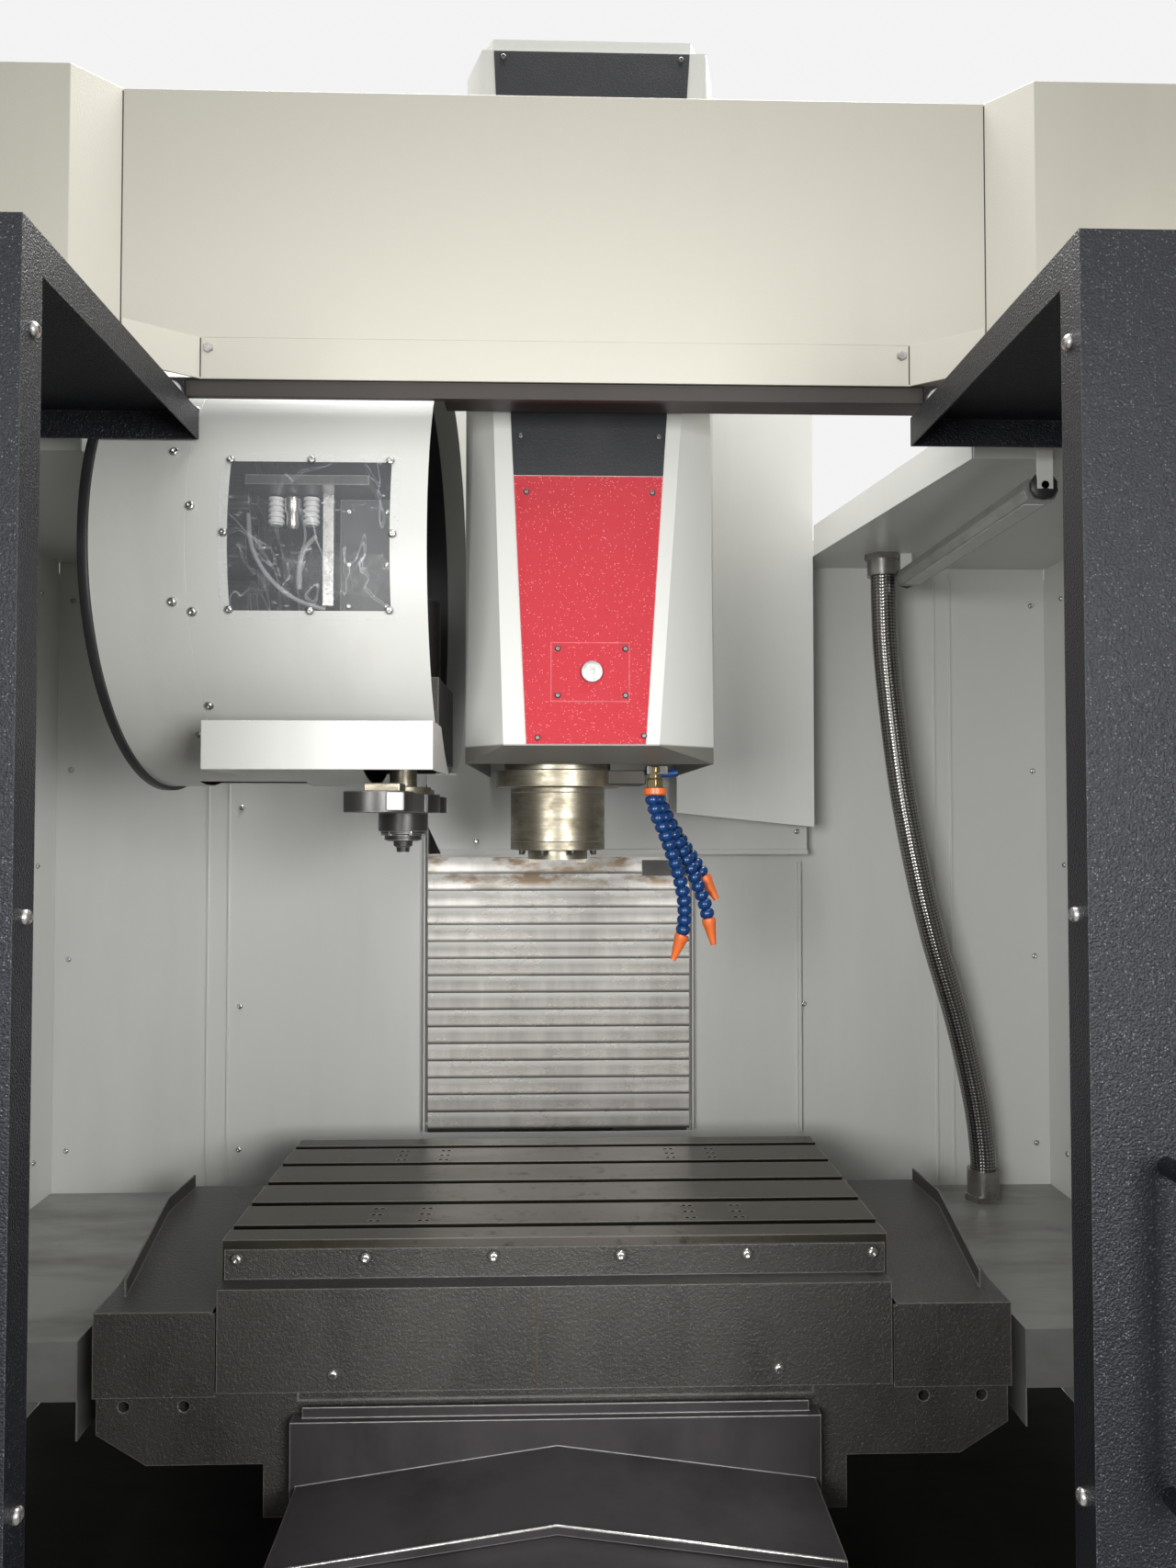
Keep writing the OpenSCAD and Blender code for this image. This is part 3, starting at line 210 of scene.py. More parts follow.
# The castings: bed, column, saddle, head slide and magazine frame are grey iron, filled, sprayed with a
# coarse hammered paint and left rough. Their edges are broken and rubbed bright where chips pass.
record = frame["record"]
body_of = {node: body for body, nodes in record["behaviour"]["bodies"].items() for node in nodes}
slot_of = {part["node"]: part["material_slot"] for part in record["subparts"]}


def group(name, inputs, outputs):
    """An empty node group with its named sockets, and its input and output nodes."""
    tree = bpy.data.node_groups.new(name, "ShaderNodeTree")
    for label, kind, value in inputs:
        socket = tree.interface.new_socket(label, in_out="INPUT", socket_type="NodeSocket" + kind)
        socket.default_value = value
    for label in outputs:
        tree.interface.new_socket(label, in_out="OUTPUT", socket_type="NodeSocketFloat")
    return tree, tree.nodes.new("NodeGroupInput").outputs, tree.nodes.new("NodeGroupOutput").inputs


def own_place(tree):
    """The piece's own coordinates, which are the part's."""
    return add(tree, "TexCoord").outputs["Object"]


def stretched(tree, by):
    """Object coordinates, pulled longer or shorter on each axis."""
    return add(tree, "VectorMath", {0: own_place(tree), 1: by}, operation="MULTIPLY").outputs["Vector"]


def make_grain():
    """Height of a sprayed or cast surface."""
    tree, given, out = group("grain", [("Scale", "Float", 400.0), ("Roughness", "Float", 0.6)], ["Height"])
    noise = add(tree, "TexNoise", {"Vector": own_place(tree), "Detail": 3.0,
                                   "Scale": given["Scale"], "Roughness": given["Roughness"]})
    tree.links.new(noise.outputs["Fac"], out["Height"])
    return tree


def make_grime():
    """Mask of uneven dirt, in clouds or in streaks."""
    tree, given, out = group("grime", [
        ("Stretch", "Vector", (1.0, 1.0, 1.0)), ("Scale", "Float", 3.0), ("From", "Float", 0.4),
        ("To", "Float", 0.8)], ["Mask"])
    noise = add(tree, "TexNoise", {"Vector": stretched(tree, given["Stretch"]), "Scale": given["Scale"],
                                   "Detail": 6.0, "Roughness": 0.62})
    mask = ramp(tree, noise.outputs["Fac"], (given["From"], given["To"]))
    tree.links.new(mask, out["Mask"])
    return tree


def make_brushing():
    """Height of fine parallel grinding or brush lines."""
    tree, given, out = group("brushing", [
        ("Stretch", "Vector", (1.0, 1.0, 60.0)), ("Scale", "Float", 40.0)], ["Line"])
    noise = add(tree, "TexNoise", {"Vector": stretched(tree, given["Stretch"]), "Scale": given["Scale"],
                                   "Detail": 2.0, "Roughness": 0.5})
    tree.links.new(noise.outputs["Fac"], out["Line"])
    return tree


def make_painted_glints():
    """Mask of small bright specks: painted highlights where light would glint off a wrinkled paint."""
    tree, given, out = group("painted_glints", [("Scale", "Float", 900.0), ("Share", "Float", 0.12)], ["Mask"])
    cells = add(tree, "TexVoronoi", {"Vector": own_place(tree), "Scale": given["Scale"]})
    chance = add(tree, "SeparateColor", {"Color": cells.outputs["Color"]})
    picked = calc(tree, "LESS_THAN", chance.outputs[0], given["Share"])
    near = calc(tree, "LESS_THAN", cells.outputs["Distance"], 0.34)
    tree.links.new(calc(tree, "MULTIPLY", picked, near), out["Mask"])
    return tree


def make_worn_edge():
    """Mask of edges that have been rubbed, where the rounded normal leaves the true one."""
    tree, given, out = group("worn_edge", [("Width", "Float", 0.003), ("Amount", "Float", 0.5)], ["Mask"])
    soft = add(tree, "Bevel", {"Radius": given["Width"]}, samples=2)
    along = add(tree, "VectorMath", {0: soft.outputs["Normal"], 1: add(tree, "NewGeometry").outputs["Normal"]},
                operation="DOT_PRODUCT")
    turned_away = calc(tree, "SUBTRACT", 1.0, along.outputs["Value"])
    patches = add(tree, "TexNoise", {"Vector": own_place(tree), "Scale": 60.0})
    broken = calc(tree, "MULTIPLY", turned_away, patches.outputs["Fac"])
    strong = calc(tree, "MULTIPLY", broken, 14.0)
    mask = add(tree, "Math", {0: strong, 1: given["Amount"]}, operation="MULTIPLY", use_clamp=True)
    tree.links.new(mask.outputs[0], out["Mask"])
    return tree


grain, grime, brushing = make_grain(), make_grime(), make_brushing()
painted_glints, worn_edge = make_painted_glints(), make_worn_edge()


def shared(tree, effect, *values):
    """One shared effect placed in a material with that material's own values; its result."""
    node = tree.nodes.new("ShaderNodeGroup")
    node.node_tree = effect
    for socket, value in zip(node.inputs, values):
        socket.default_value = value
    return node.outputs[0]


def surface(name, colour, roughness, metallic=0.0, dirt=None, grain_at=None, bump=0.1, brush=None,
            painted_glint=None, wear=None, rougher=0.1, shine=0.5):
    """A finish. dirt is (colour, stretch, scale, from, to), grain_at (scale, roughness), brush
    (stretch, scale, contrast), glint (scale, share, colour) of painted highlight specks and wear (width,
    amount, colour)."""
    mat, tree, shader = bare_material(name, roughness, metallic)
    shader.inputs["Specular IOR Level"].default_value = shine
    shade, heights = colour, []
    if dirt:
        mask = shared(tree, grime, *dirt[1:])
        shade = blend(tree, mask, shade, dirt[0])
        rough = ramp(tree, mask, (0, 1), (roughness, roughness + rougher))
        tree.links.new(rough, shader.inputs["Roughness"])
    if brush:
        line = shared(tree, brushing, *brush[:2])
        share = ramp(tree, line, (0.3, 0.7), (1 - brush[2], 1 + brush[2]))
        scaled = add(tree, "VectorMath", {"Scale": share}, operation="SCALE")
        if isinstance(shade, bpy.types.NodeSocket):
            tree.links.new(shade, scaled.inputs[0])
        else:
            scaled.inputs[0].default_value = shade
        shade = scaled.outputs["Vector"]
        heights.append((line, 0.35))
    # Painted highlights: bright specks laid into the colour where light would glint off the paint.
    if painted_glint:
        shade = blend(tree, shared(tree, painted_glints, *painted_glint[:2]), shade, painted_glint[2])
    if wear:
        shade = blend(tree, shared(tree, worn_edge, *wear[:2]), shade, wear[2])
    if isinstance(shade, bpy.types.NodeSocket):
        tree.links.new(shade, shader.inputs["Base Color"])
    else:
        shader.inputs["Base Color"].default_value = (*shade, 1.0)
    if grain_at:
        heights.append((shared(tree, grain, *grain_at), 1.0))
    normal = None
    for height, share in heights:
        relief = add(tree, "Bump", {"Height": height, "Strength": bump * share, "Distance": 0.002})
        if normal:
            tree.links.new(normal, relief.inputs["Normal"])
        normal = relief.outputs["Normal"]
    if normal:
        tree.links.new(normal, shader.inputs["Normal"])
    return mat


def modify(piece, kind, **settings):
    """Applies a modifier with its settings."""
    activate(piece)
    modifier = piece.modifiers.new(kind.lower(), kind)
    for key, value in settings.items():
        setattr(modifier, key, value)
    bpy.ops.object.modifier_apply(modifier=modifier.name)


def rounded(node, width, material):
    """The node's own solid, merged, with its sharp edges broken, in place of the node."""
    piece = bpy.data.objects.new(node + "_finished", frame["nodes"][node].data.copy())
    bpy.context.scene.collection.objects.link(piece)
    activate(piece)
    bpy.ops.object.mode_set(mode="EDIT")
    bpy.ops.mesh.select_all(action="SELECT")
    bpy.ops.mesh.remove_doubles(threshold=0.00001)
    bpy.ops.mesh.dissolve_limited(angle_limit=math.radians(0.8))
    bpy.ops.object.mode_set(mode="OBJECT")
    modify(piece, "BEVEL", width=width, segments=2, limit_method="ANGLE", angle_limit=math.radians(32))
    bpy.ops.object.shade_smooth_by_angle(angle=math.radians(35))
    modify(piece, "WEIGHTED_NORMAL", keep_sharp=True)
    return finish(piece, material, body_of[node], slot_of[node], node)


# The hammered paint's light specks are painted highlights on its relief; its dirt and rubbed edges are real.
hammered_paint = surface(
    "hammered_paint", (0.050, 0.048, 0.043), 0.36, dirt=((0.022, 0.020, 0.017), (1, 1, 0.5), 6.0, 0.45, 0.8),
    grain_at=(210, 0.8), bump=1.0, painted_glint=(300, 0.12, (0.11, 0.106, 0.098)),
    wear=(0.003, 0.6, (0.30, 0.29, 0.27)), rougher=-0.10)
for node, width in (("column", 0.006), ("saddle", 0.006), ("head_casting", 0.004), ("magazine_frame", 0.003),
                    ("cam_box", 0.004)):
    rounded(node, width, hammered_paint)
# The bed's paint is made far darker than the other castings, as painted shade under the trays.
rounded("bed", 0.006, surface(
    "bed_paint_painted_shade", (0.020, 0.019, 0.018), 0.40, dirt=((0.010, 0.009, 0.008), (1, 1, 0.5), 5.0, 0.45, 0.8),
    grain_at=(210, 0.8), bump=0.8))

# The table: ground grey iron with five T-slots along it. Coolant has left it brown and greenish, and
# the middle is still bright where vices have stood.
table_low, table_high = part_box("table")
table_top, table_front = table_high.z, table_low.y
even = (1.0, 1.0, 1.0)


def axes(tree):
    """A piece's own coordinates, by axis."""
    return add(tree, "SeparateXYZ", {"Vector": own_place(tree)}).outputs


def table_iron():
    """Ground iron: brown oil film at the ends, brighter in the middle, and painted shade in the slots and
    holes.
    """
    mat, tree, shader = bare_material("table_iron", 0.3, 0.7)
    place = axes(tree)
    beside = calc(tree, "ABSOLUTE", place["X"])
    clouds = shared(tree, grime, (0.7, 1.6, 1.0), 6.0, 0.25, 0.85)
    edge = calc(tree, "MULTIPLY", clouds, 0.16)
    reach = calc(tree, "ADD", beside, edge)
    worn = ramp(tree, reach, (0.34, 0.20))
    film = blend(tree, clouds, (0.040, 0.038, 0.026), (0.115, 0.108, 0.086))
    shade = blend(tree, worn, film, (0.160, 0.144, 0.130))
    spots = shared(tree, grime, even, 34.0, 0.58, 0.72)
    shade = blend(tree, spots, shade, (0.045, 0.042, 0.028))
    edges = shared(tree, worn_edge, 0.003, 0.9)
    shade = blend(tree, edges, shade, (0.50, 0.47, 0.42))
    # Painted shade: the slots and holes below the top, behind the front face, are darkened.
    sunk_painted_shade = calc(tree, "LESS_THAN", place["Z"], table_top - 0.0012)
    behind = calc(tree, "GREATER_THAN", place["Y"], table_front + 0.004)
    within = calc(tree, "MULTIPLY", sunk_painted_shade, behind)
    shade = blend(tree, within, shade, (0.022, 0.020, 0.015))
    line = shared(tree, brushing, (1.5, 60.0, 60.0), 9.0)
    rough = ramp(tree, clouds, (0, 1), (0.26, 0.42))
    relief = add(tree, "Bump", {"Height": line, "Strength": 0.05, "Distance": 0.002})
    tree.links.new(shade, shader.inputs["Base Color"])
    tree.links.new(rough, shader.inputs["Roughness"])
    tree.links.new(relief.outputs["Normal"], shader.inputs["Normal"])
    return mat


rounded("table", 0.0012, table_iron())

# The table's aprons: bent sheet in the same hammered paint, held by bright button-head screws, with one
# dried run of coolant down the middle.
bright_steel = surface(
    "bright_steel", (0.60, 0.59, 0.57), 0.24, 0.9, dirt=((0.20, 0.19, 0.17), even, 60, 0.45, 0.8))


def turned(name, profile, sides=16):
    """A turned piece along +Z: a disc, extruded and drawn in or out from ring to ring."""
    first_r, first_z = profile[0]
    bpy.ops.mesh.primitive_circle_add(vertices=sides, radius=first_r, fill_type="NGON",
                                      location=(0, 0, first_z))
    piece = bpy.context.object
    piece.name = name
    bpy.ops.object.transform_apply(location=True)
    bpy.ops.object.mode_set(mode="EDIT")
    bpy.ops.mesh.select_all(action="SELECT")
    bpy.ops.mesh.duplicate()
    last_r, last_z = first_r, first_z
    for r, z in profile[1:]:
        bpy.ops.mesh.extrude_region_move(TRANSFORM_OT_translate={"value": (0, 0, z - last_z)})
        bpy.ops.transform.resize(value=(r / last_r, r / last_r, 1))
        last_r, last_z = r, z
    bpy.ops.mesh.select_all(action="SELECT")
    bpy.ops.mesh.remove_doubles(threshold=0.000001)
    bpy.ops.mesh.normals_make_consistent(inside=False)
    bpy.ops.object.mode_set(mode="OBJECT")
    bpy.ops.object.shade_smooth_by_angle(angle=math.radians(40))
    return piece


def facing(at, direction, turn=0.0):
    """The place of a piece that was made along +Z and now points along a direction."""
    aim = Vector(direction).to_track_quat("Z", "Y").to_matrix().to_4x4()
    return Matrix.Translation(at) @ aim @ Matrix.Rotation(turn, 4, "Z")


def row(name, model, places, material=bright_steel, body="machine_base", slot="stainless"):
    """Copies of a model at each place, joined to one piece; the model itself goes."""
    copies = []
    for place in places:
        copy = bpy.data.objects.new(name, model.data.copy())
        copy.data.transform(place)
        bpy.context.scene.collection.objects.link(copy)
        copies.append(copy)
    bpy.data.objects.remove(model)
    activate(copies[0])
    for copy in copies:
        copy.select_set(True)
    if len(copies) > 1:
        bpy.ops.object.join()
    return finish(copies[0], material, body, slot)


def button_screw(r):
    """A button-head screw with a socket in its crown."""
    return turned("button_screw", [
        (r, 0.0), (r, 0.12 * r), (0.93 * r, 0.35 * r), (0.75 * r, 0.55 * r), (0.5 * r, 0.66 * r),
        (0.42 * r, 0.66 * r), (0.40 * r, 0.2 * r), (0.05 * r, 0.2 * r)])


front = (0, -1, 0)
rounded("table_apron", 0.0012, hammered_paint)
apron_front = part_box("table_apron")[0].y + 0.004
row("apron_screws", button_screw(0.0085),
    [facing((x * table_high.x * 0.38, -0.144, 0.845), front) for x in (-2.5, -1.5, -0.5, 0.5, 1.5, 2.5)]
    + [facing((x, apron_front, 0.690), front) for x in (-0.326, 0.326)],
    body="table")


def slab(name, middle, size, edge, steps=2):
    """A flat piece: a cube brought to its size, with its edges broken."""
    bpy.ops.mesh.primitive_cube_add(size=1, location=middle)
    piece = bpy.context.object
    piece.name = name
    bpy.ops.transform.resize(value=size)
    bpy.ops.object.transform_apply(location=True, scale=True)
    modify(piece, "BEVEL", width=edge, segments=steps)
    return piece


stain = slab("coolant_run", (-0.030, apron_front - 0.0001, 0.738), (0.0026, 0.0004, 0.140), 0.00015, steps=1)
finish(stain, surface("dried_coolant", (0.060, 0.042, 0.026), 0.5, dirt=(
    (0.085, 0.078, 0.068), (1, 1, 0.3), 60, 0.4, 0.7)), "table", "cast_paint")

# The way covers: bent steel plates that slide over each other beside and in front of the saddle. Their
# paint is worn to a dark oily sheet, and the lips that wipe the next plate are bright.
worn_sheet = surface(
    "worn_sheet", (0.072, 0.065, 0.070), 0.30, 0.35, dirt=((0.024, 0.022, 0.023), (1, 1, 0.6), 7.0, 0.42, 0.78),
    grain_at=(900, 0.7), bump=0.10, wear=(0.0025, 1.0, (0.60, 0.59, 0.56)), rougher=0.2)
rounded("x_covers", 0.0010, hammered_paint)
for node in ("y_cover_front", "y_cover_mid_a", "y_cover_mid_b", "y_cover_base"):
    rounded(node, 0.0008, worn_sheet)
gable_half, ridge_z, gable_drop = 0.372, 0.592, 0.0512
inward, downward = 0.005, 0.012  # each plate is this much smaller than the one before
for k, node in enumerate(("y_cover_front", "y_cover_mid_a", "y_cover_mid_b")):
    edge_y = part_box(node)[0].y
    half, ridge = gable_half - inward * k, ridge_z - downward * k
    eaves = ridge - gable_drop
    rim = [(-half, edge_y, eaves), (0, edge_y, ridge + 0.0006), (half, edge_y, eaves)]
    lip, _ = hose("wiper_lip_" + str(k), rim, 0.0022, sides=8, rounds=0)
    finish(lip, bright_steel, body_of[node], "stainless")

# The telescopic slat cover behind the table: pressed stainless slats, polished up and down by chips and
# coolant, with a painted shadow under each slat and a painted highlight along its top. One dark plate closes
# the end of the top slat.
slat_foot, slat_pitch, top_slat_z = 0.840, 0.036, 1.352


def slat_steel():
    """Brushed stainless with the roll of each slat, a painted highlight on each slat's top, a painted shadow at
    its foot under the slat above, and streaks down the middle.
    """
    mat, tree, shader = bare_material("slat_steel", 0.3, 0.35)
    place = axes(tree)
    raised = calc(tree, "SUBTRACT", place["Z"], slat_foot)
    steps = calc(tree, "DIVIDE", raised, slat_pitch)
    within = calc(tree, "FRACT", steps)
    # Painted shadow at the foot of each slat, under the slat above; painted highlight on each slat's rounded
    # top.
    joint = ramp(tree, within, (0.22, 0.07))
    crown = ramp(tree, within, (0.62, 0.95))
    high = ramp(tree, place["Z"], (top_slat_z, top_slat_z + 0.010))
    streaks = shared(tree, grime, (4.0, 1.0, 0.5), 4.0, 0.35, 0.75)
    stains = shared(tree, grime, (1.0, 1.0, 3.0), 9.0, 0.52, 0.80)
    burns = shared(tree, grime, (0.5, 1.0, 1.2), 26.0, 0.44, 0.60)
    burnt = calc(tree, "MULTIPLY", burns, high)
    shade = blend(tree, streaks, (0.66, 0.64, 0.60), (0.40, 0.385, 0.355))
    shade = blend(tree, stains, shade, (0.36, 0.32, 0.27))
    # These lines lay in the painted highlight on each slat's top, the heat tint, and the painted shadow at each
    # slat's foot.
    shade = blend(tree, crown, shade, (0.92, 0.91, 0.88))
    shade = blend(tree, burnt, shade, (0.30, 0.22, 0.14))
    shade = blend(tree, joint, shade, (0.085, 0.075, 0.065))
    line = shared(tree, brushing, (1.0, 1.0, 70.0), 12.0)
    rough = ramp(tree, stains, (0, 1), (0.24, 0.50))
    rolled = calc(tree, "POWER", within, 3.0)
    roll = add(tree, "Bump", {"Height": rolled, "Strength": 0.5, "Distance": 0.004})
    relief = add(tree, "Bump", {"Height": line, "Strength": 0.03, "Distance": 0.002,
                                "Normal": roll.outputs["Normal"]})
    tree.links.new(shade, shader.inputs["Base Color"])
    tree.links.new(rough, shader.inputs["Roughness"])
    tree.links.new(relief.outputs["Normal"], shader.inputs["Normal"])
    return mat


slat_finish = slat_steel()
for node in ("z_cover_top", "z_cover_high", "z_cover_mid", "z_cover_low", "z_cover_base"):
    rounded(node, 0.0004, slat_finish)
dark_steel = surface(
    "dark_steel", (0.060, 0.058, 0.056), 0.34, 0.6, dirt=((0.028, 0.026, 0.024), even, 12, 0.4, 0.8),
    grain_at=(500, 0.6), bump=0.12, wear=(0.002, 0.8, (0.40, 0.39, 0.37)))
cover_low, cover_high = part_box("z_cover_top")
end_plate = slab("slat_end_plate", (cover_high.x - 0.052, cover_low.y - 0.0006, top_slat_z + 0.040),
                 (0.098, 0.0010, 0.034), 0.0003)
finish(end_plate, dark_steel, "head", "dark_steel")

# The inside of the enclosure: flat sheet panels in a pale grey paint, screwed to folded seams, with
# zinc-bright trays and pans under them. Rows of screws hold the side panels from outside.
upright = (1.0, 1.0, 0.18)
pale_paint = surface(
    "pale_paint", (0.60, 0.602, 0.58), 0.34, dirt=((0.44, 0.44, 0.42), upright, 1.6, 0.50, 0.95),
    grain_at=(480, 0.55), bump=0.05)
tray_zinc = surface(
    "tray_zinc", (0.27, 0.27, 0.26), 0.36, 0.3, dirt=((0.12, 0.112, 0.10), (0.6, 2.0, 1.0), 4.5, 0.44, 0.80),
    grain_at=(600, 0.6), bump=0.06, rougher=0.2)
for node, width in (("back_wall", 0.0006), ("side_left", 0.001), ("side_right", 0.001), ("roof_panels", 0.0008),
                    ("head_apron", 0.0006)):
    rounded(node, width, pale_paint)


def over(material, mask_of, colour):
    """Lays a second colour over a finish where a mask says so."""
    tree = material.node_tree
    tint = tree.nodes["Principled BSDF"].inputs["Base Color"]
    beneath = tint.links[0].from_socket
    tree.links.new(blend(tree, mask_of(tree), beneath, colour), tint)
    return material


def below(tree, dry, wet, most=1.0):
    """Mask that fades in from one height down to a lower one."""
    return ramp(tree, axes(tree)["Z"], (dry, wet), (0, most))


def pan_painted_shade(tree):
    """The low pans at the bed, darkened downwards as painted shade under the trays."""
    return below(tree, 0.50, 0.35, 0.92)


# The chip trays darken towards the bottom: painted shade under them.
rounded("chip_trays", 0.0008, over(tray_zinc.copy(), pan_painted_shade, (0.022, 0.021, 0.020)))
wall_y, wall_x, guard_y = 0.540, 1.060, 0.498
wall_screws = [(x, z) for x in (-0.671, 0.528) for z in (0.80, 1.10, 1.52, 1.92)] + [
    (x, z) for x in (-1.03, 1.03) for z in (0.80, 1.20, 1.60, 1.96)] + [(-0.296, 1.511)]
row("wall_screws", button_screw(0.006), [facing((x, wall_y, z), front) for x, z in wall_screws])
row("side_wall_screws", button_screw(0.006), [
    facing((s * wall_x, y, z), (-s, 0, 0))
    for s in (-1, 1) for y in (-0.40, 0.05, 0.46) for z in (0.80, 1.40, 1.96)])
row("guard_screws", button_screw(0.006), [
    facing((x, guard_y, z), front)
    for x, z in ((-0.171, 1.449), (-0.090, 1.445), (0.505, 1.470), (0.505, 1.90))],
    body="head")
for side, name in ((-1, "left"), (1, "right")):
    row("side_panel_screws_" + name, button_screw(0.007), [
        facing((side * 1.180, y, z), (side, 0, 0)) for y in (-0.60, 0.0, 0.60) for z in (0.30, 1.10, 1.66)])

# The closing strips: narrow folded sheets that shut the slits over the side boxes and behind the doors'
# upper rail, so that no chips fly out.
for name, middle, size in (
        ("side_strip_left", (-1.0614, 0.177, 2.0290), (0.0016, 0.728, 0.0224)),
        ("side_strip_right", (1.0614, 0.177, 2.0290), (0.0016, 0.728, 0.0224)),
        ("front_strip_left", (-0.938, -0.1872, 2.0722), (0.474, 0.0016, 0.0636)),
        ("front_strip_right", (0.900, -0.1872, 2.0722), (0.550, 0.0016, 0.0636))):
    finish(slab(name, middle, size, 0.0004), pale_paint, "machine_base", "light_grey_paint")

# The outer housing: folded sheet in cream powder coat. The header is one flat panel between two folds,
# closed at the bottom by a rail cover.
cream_coat = surface(
    "cream_coat", (0.61, 0.585, 0.505), 0.42, dirt=((0.50, 0.475, 0.40), upright, 2.2, 0.50, 0.95),
    grain_at=(520, 0.55), bump=0.16)
for node in ("upper_housing", "header_band", "front_panels"):
    rounded(node, 0.0012, cream_coat)
brown_sheet = surface(
    "brown_sheet", (0.045, 0.037, 0.032), 0.42, dirt=((0.028, 0.024, 0.021), even, 6.0, 0.45, 0.85),
    grain_at=(500, 0.6), bump=0.12)
rounded("door_rails", 0.0008, brown_sheet)
header_low, header_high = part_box("upper_housing")
header_y = -0.300
# Dark strips: painted shade along the header's two folds, and the rail cover's two joint lines.
for joint, x, foot, head in (
        ("header_fold_painted_shade_", 0.600, header_low.z + 0.004, header_high.z - 0.004),
        ("rail_cover_joint_", 0.491, 2.106, 2.160)):
    for side, name in ((-1, "left"), (1, "right")):
        ends = [(side * x, header_y - 0.0002, z) for z in (foot, head)]
        seam, _ = hose(joint + name, ends, 0.0009, sides=6, rounds=0)
        finish(seam, brown_sheet, "machine_base", "cream_paint")


def hex_bolt(r):
    """A hexagon bolt head with its washer face and chamfer."""
    head = turned("hex_bolt", [(r, 0.0), (r, 0.55 * r), (0.86 * r, 0.68 * r)], sides=6)
    modify(head, "BEVEL", width=0.06 * r, segments=2, limit_method="ANGLE", angle_limit=math.radians(50))
    return head


row("rail_cover_bolts", hex_bolt(0.007), [
    facing((s * 0.480, header_y, 2.146), front) for s in (-1, 1)])

# The doors: folded steel leaves in a dark wrinkled powder coat, with painted highlight specks for the glitter
# of light on it. Each hangs from rollers on the upper rail and has a tinted pane in a rubber frame.
door_coat = surface(
    "door_coat", (0.008, 0.009, 0.013), 0.30, dirt=((0.012, 0.013, 0.017), even, 5.0, 0.5, 0.9),
    grain_at=(430, 0.5), bump=1.0, painted_glint=(470, 0.11, (0.11, 0.115, 0.130)),
    wear=(0.002, 0.2, (0.07, 0.07, 0.08)), shine=0.35)
tinted = surface("tinted_pane", (0.012, 0.014, 0.016), 0.06, dirt=((0.03, 0.03, 0.03), even, 3.0, 0.5, 0.95))
black_rubber = surface(
    "black_rubber", (0.018, 0.018, 0.019), 0.45, dirt=((0.045, 0.045, 0.045), even, 14, 0.5, 0.95),
    grain_at=(600, 0.5), bump=0.05)
pane_w, pane_h, pane_y, pane_z = 0.420, 0.650, -0.7868, 1.525
roller_y, roller_z = -0.302, 2.081
for side, name in ((-1, "left"), (1, "right")):
    node = "door_" + name
    rounded(node, 0.0010, door_coat)
    low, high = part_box(node)
    lead = side * min(abs(low.x), abs(high.x))
    middle = lead + side * 0.340
    pane = slab("pane_" + name, (middle, pane_y, pane_z), (pane_w, 0.0024, pane_h), 0.0008)
    finish(pane, tinted, node, "door_paint")
    rim_x, rim_z = pane_w / 2 - 0.001, pane_h / 2 - 0.001
    corners = [(middle + x * rim_x, pane_y - 0.0017, pane_z + z * rim_z)
               for x, z in ((-1, -1), (1, -1), (1, 1), (-1, 1), (-1, -1))]
    pane_rubber, _ = hose("pane_rubber_" + name, corners, 0.0045, sides=8, rounds=1)
    finish(pane_rubber, black_rubber, node, "black_plastic")
    roller = turned("roller", [
        (0.006, -0.003), (0.015, -0.001), (0.0165, 0.001), (0.0165, 0.009), (0.015, 0.011), (0.007, 0.012),
        (0.006, 0.015)], sides=24)
    row("rollers_" + name, roller, [
        facing((lead + side * x, roller_y, roller_z), front) for x in (0.035, 0.085, 0.535, 0.585)],
        body=node)
    row("return_screws_" + name, button_screw(0.008), [
        facing((lead, -0.766, z), (-side, 0, 0)) for z in (0.866, 1.41, 1.961)], body=node)

# The head cover: a folded white hood over the spindle head with a red panel below and a black one above,
# both wrinkle-coated and held by small screws. A hatch in the red panel has a turned plug.
white_coat = surface(
    "white_coat", (0.55, 0.55, 0.52), 0.38, dirt=((0.40, 0.39, 0.36), upright, 3.0, 0.52, 0.95),
    grain_at=(560, 0.55), bump=0.09)


def rim_painted_shade(tree):
    """The lower rim of the hood, darkened as painted shade on its downward face."""
    return below(tree, 1.6115, 1.6085)


# The hood's lower rim is darkened: painted shade on its downward face.
rounded("head_cover", 0.0022, over(white_coat.copy(), rim_painted_shade, (0.150, 0.146, 0.128)))
# The red coat's bright specks are painted highlights, where light would catch the wrinkles.
red_coat = surface(
    "red_coat", (0.50, 0.018, 0.032), 0.34, dirt=((0.39, 0.013, 0.023), even, 9.0, 0.5, 0.95),
    grain_at=(380, 0.8), bump=1.0, painted_glint=(480, 0.10, (0.85, 0.30, 0.30)),
    wear=(0.0015, 0.7, (0.80, 0.42, 0.42)))
rounded("head_red_panel", 0.0007, red_coat)
black_coat = surface(
    "black_coat", (0.020, 0.021, 0.024), 0.40, dirt=((0.032, 0.032, 0.035), even, 6.0, 0.5, 0.9),
    grain_at=(420, 0.7), bump=0.35, shine=0.3)
rounded("head_black_panel", 0.0007, black_coat)
panel_y = -0.172
small_screws = [
    (-0.030, 1.620), (0.129, 1.623), (-0.047, 1.989), (0.142, 1.989), (-0.056, 2.073), (0.152, 2.073),
    (-0.083, 2.653), (0.187, 2.653)]
row("panel_screws", button_screw(0.0045), [facing((x, panel_y, z), front) for x, z in small_screws],
    dark_steel, "head", "dark_steel")
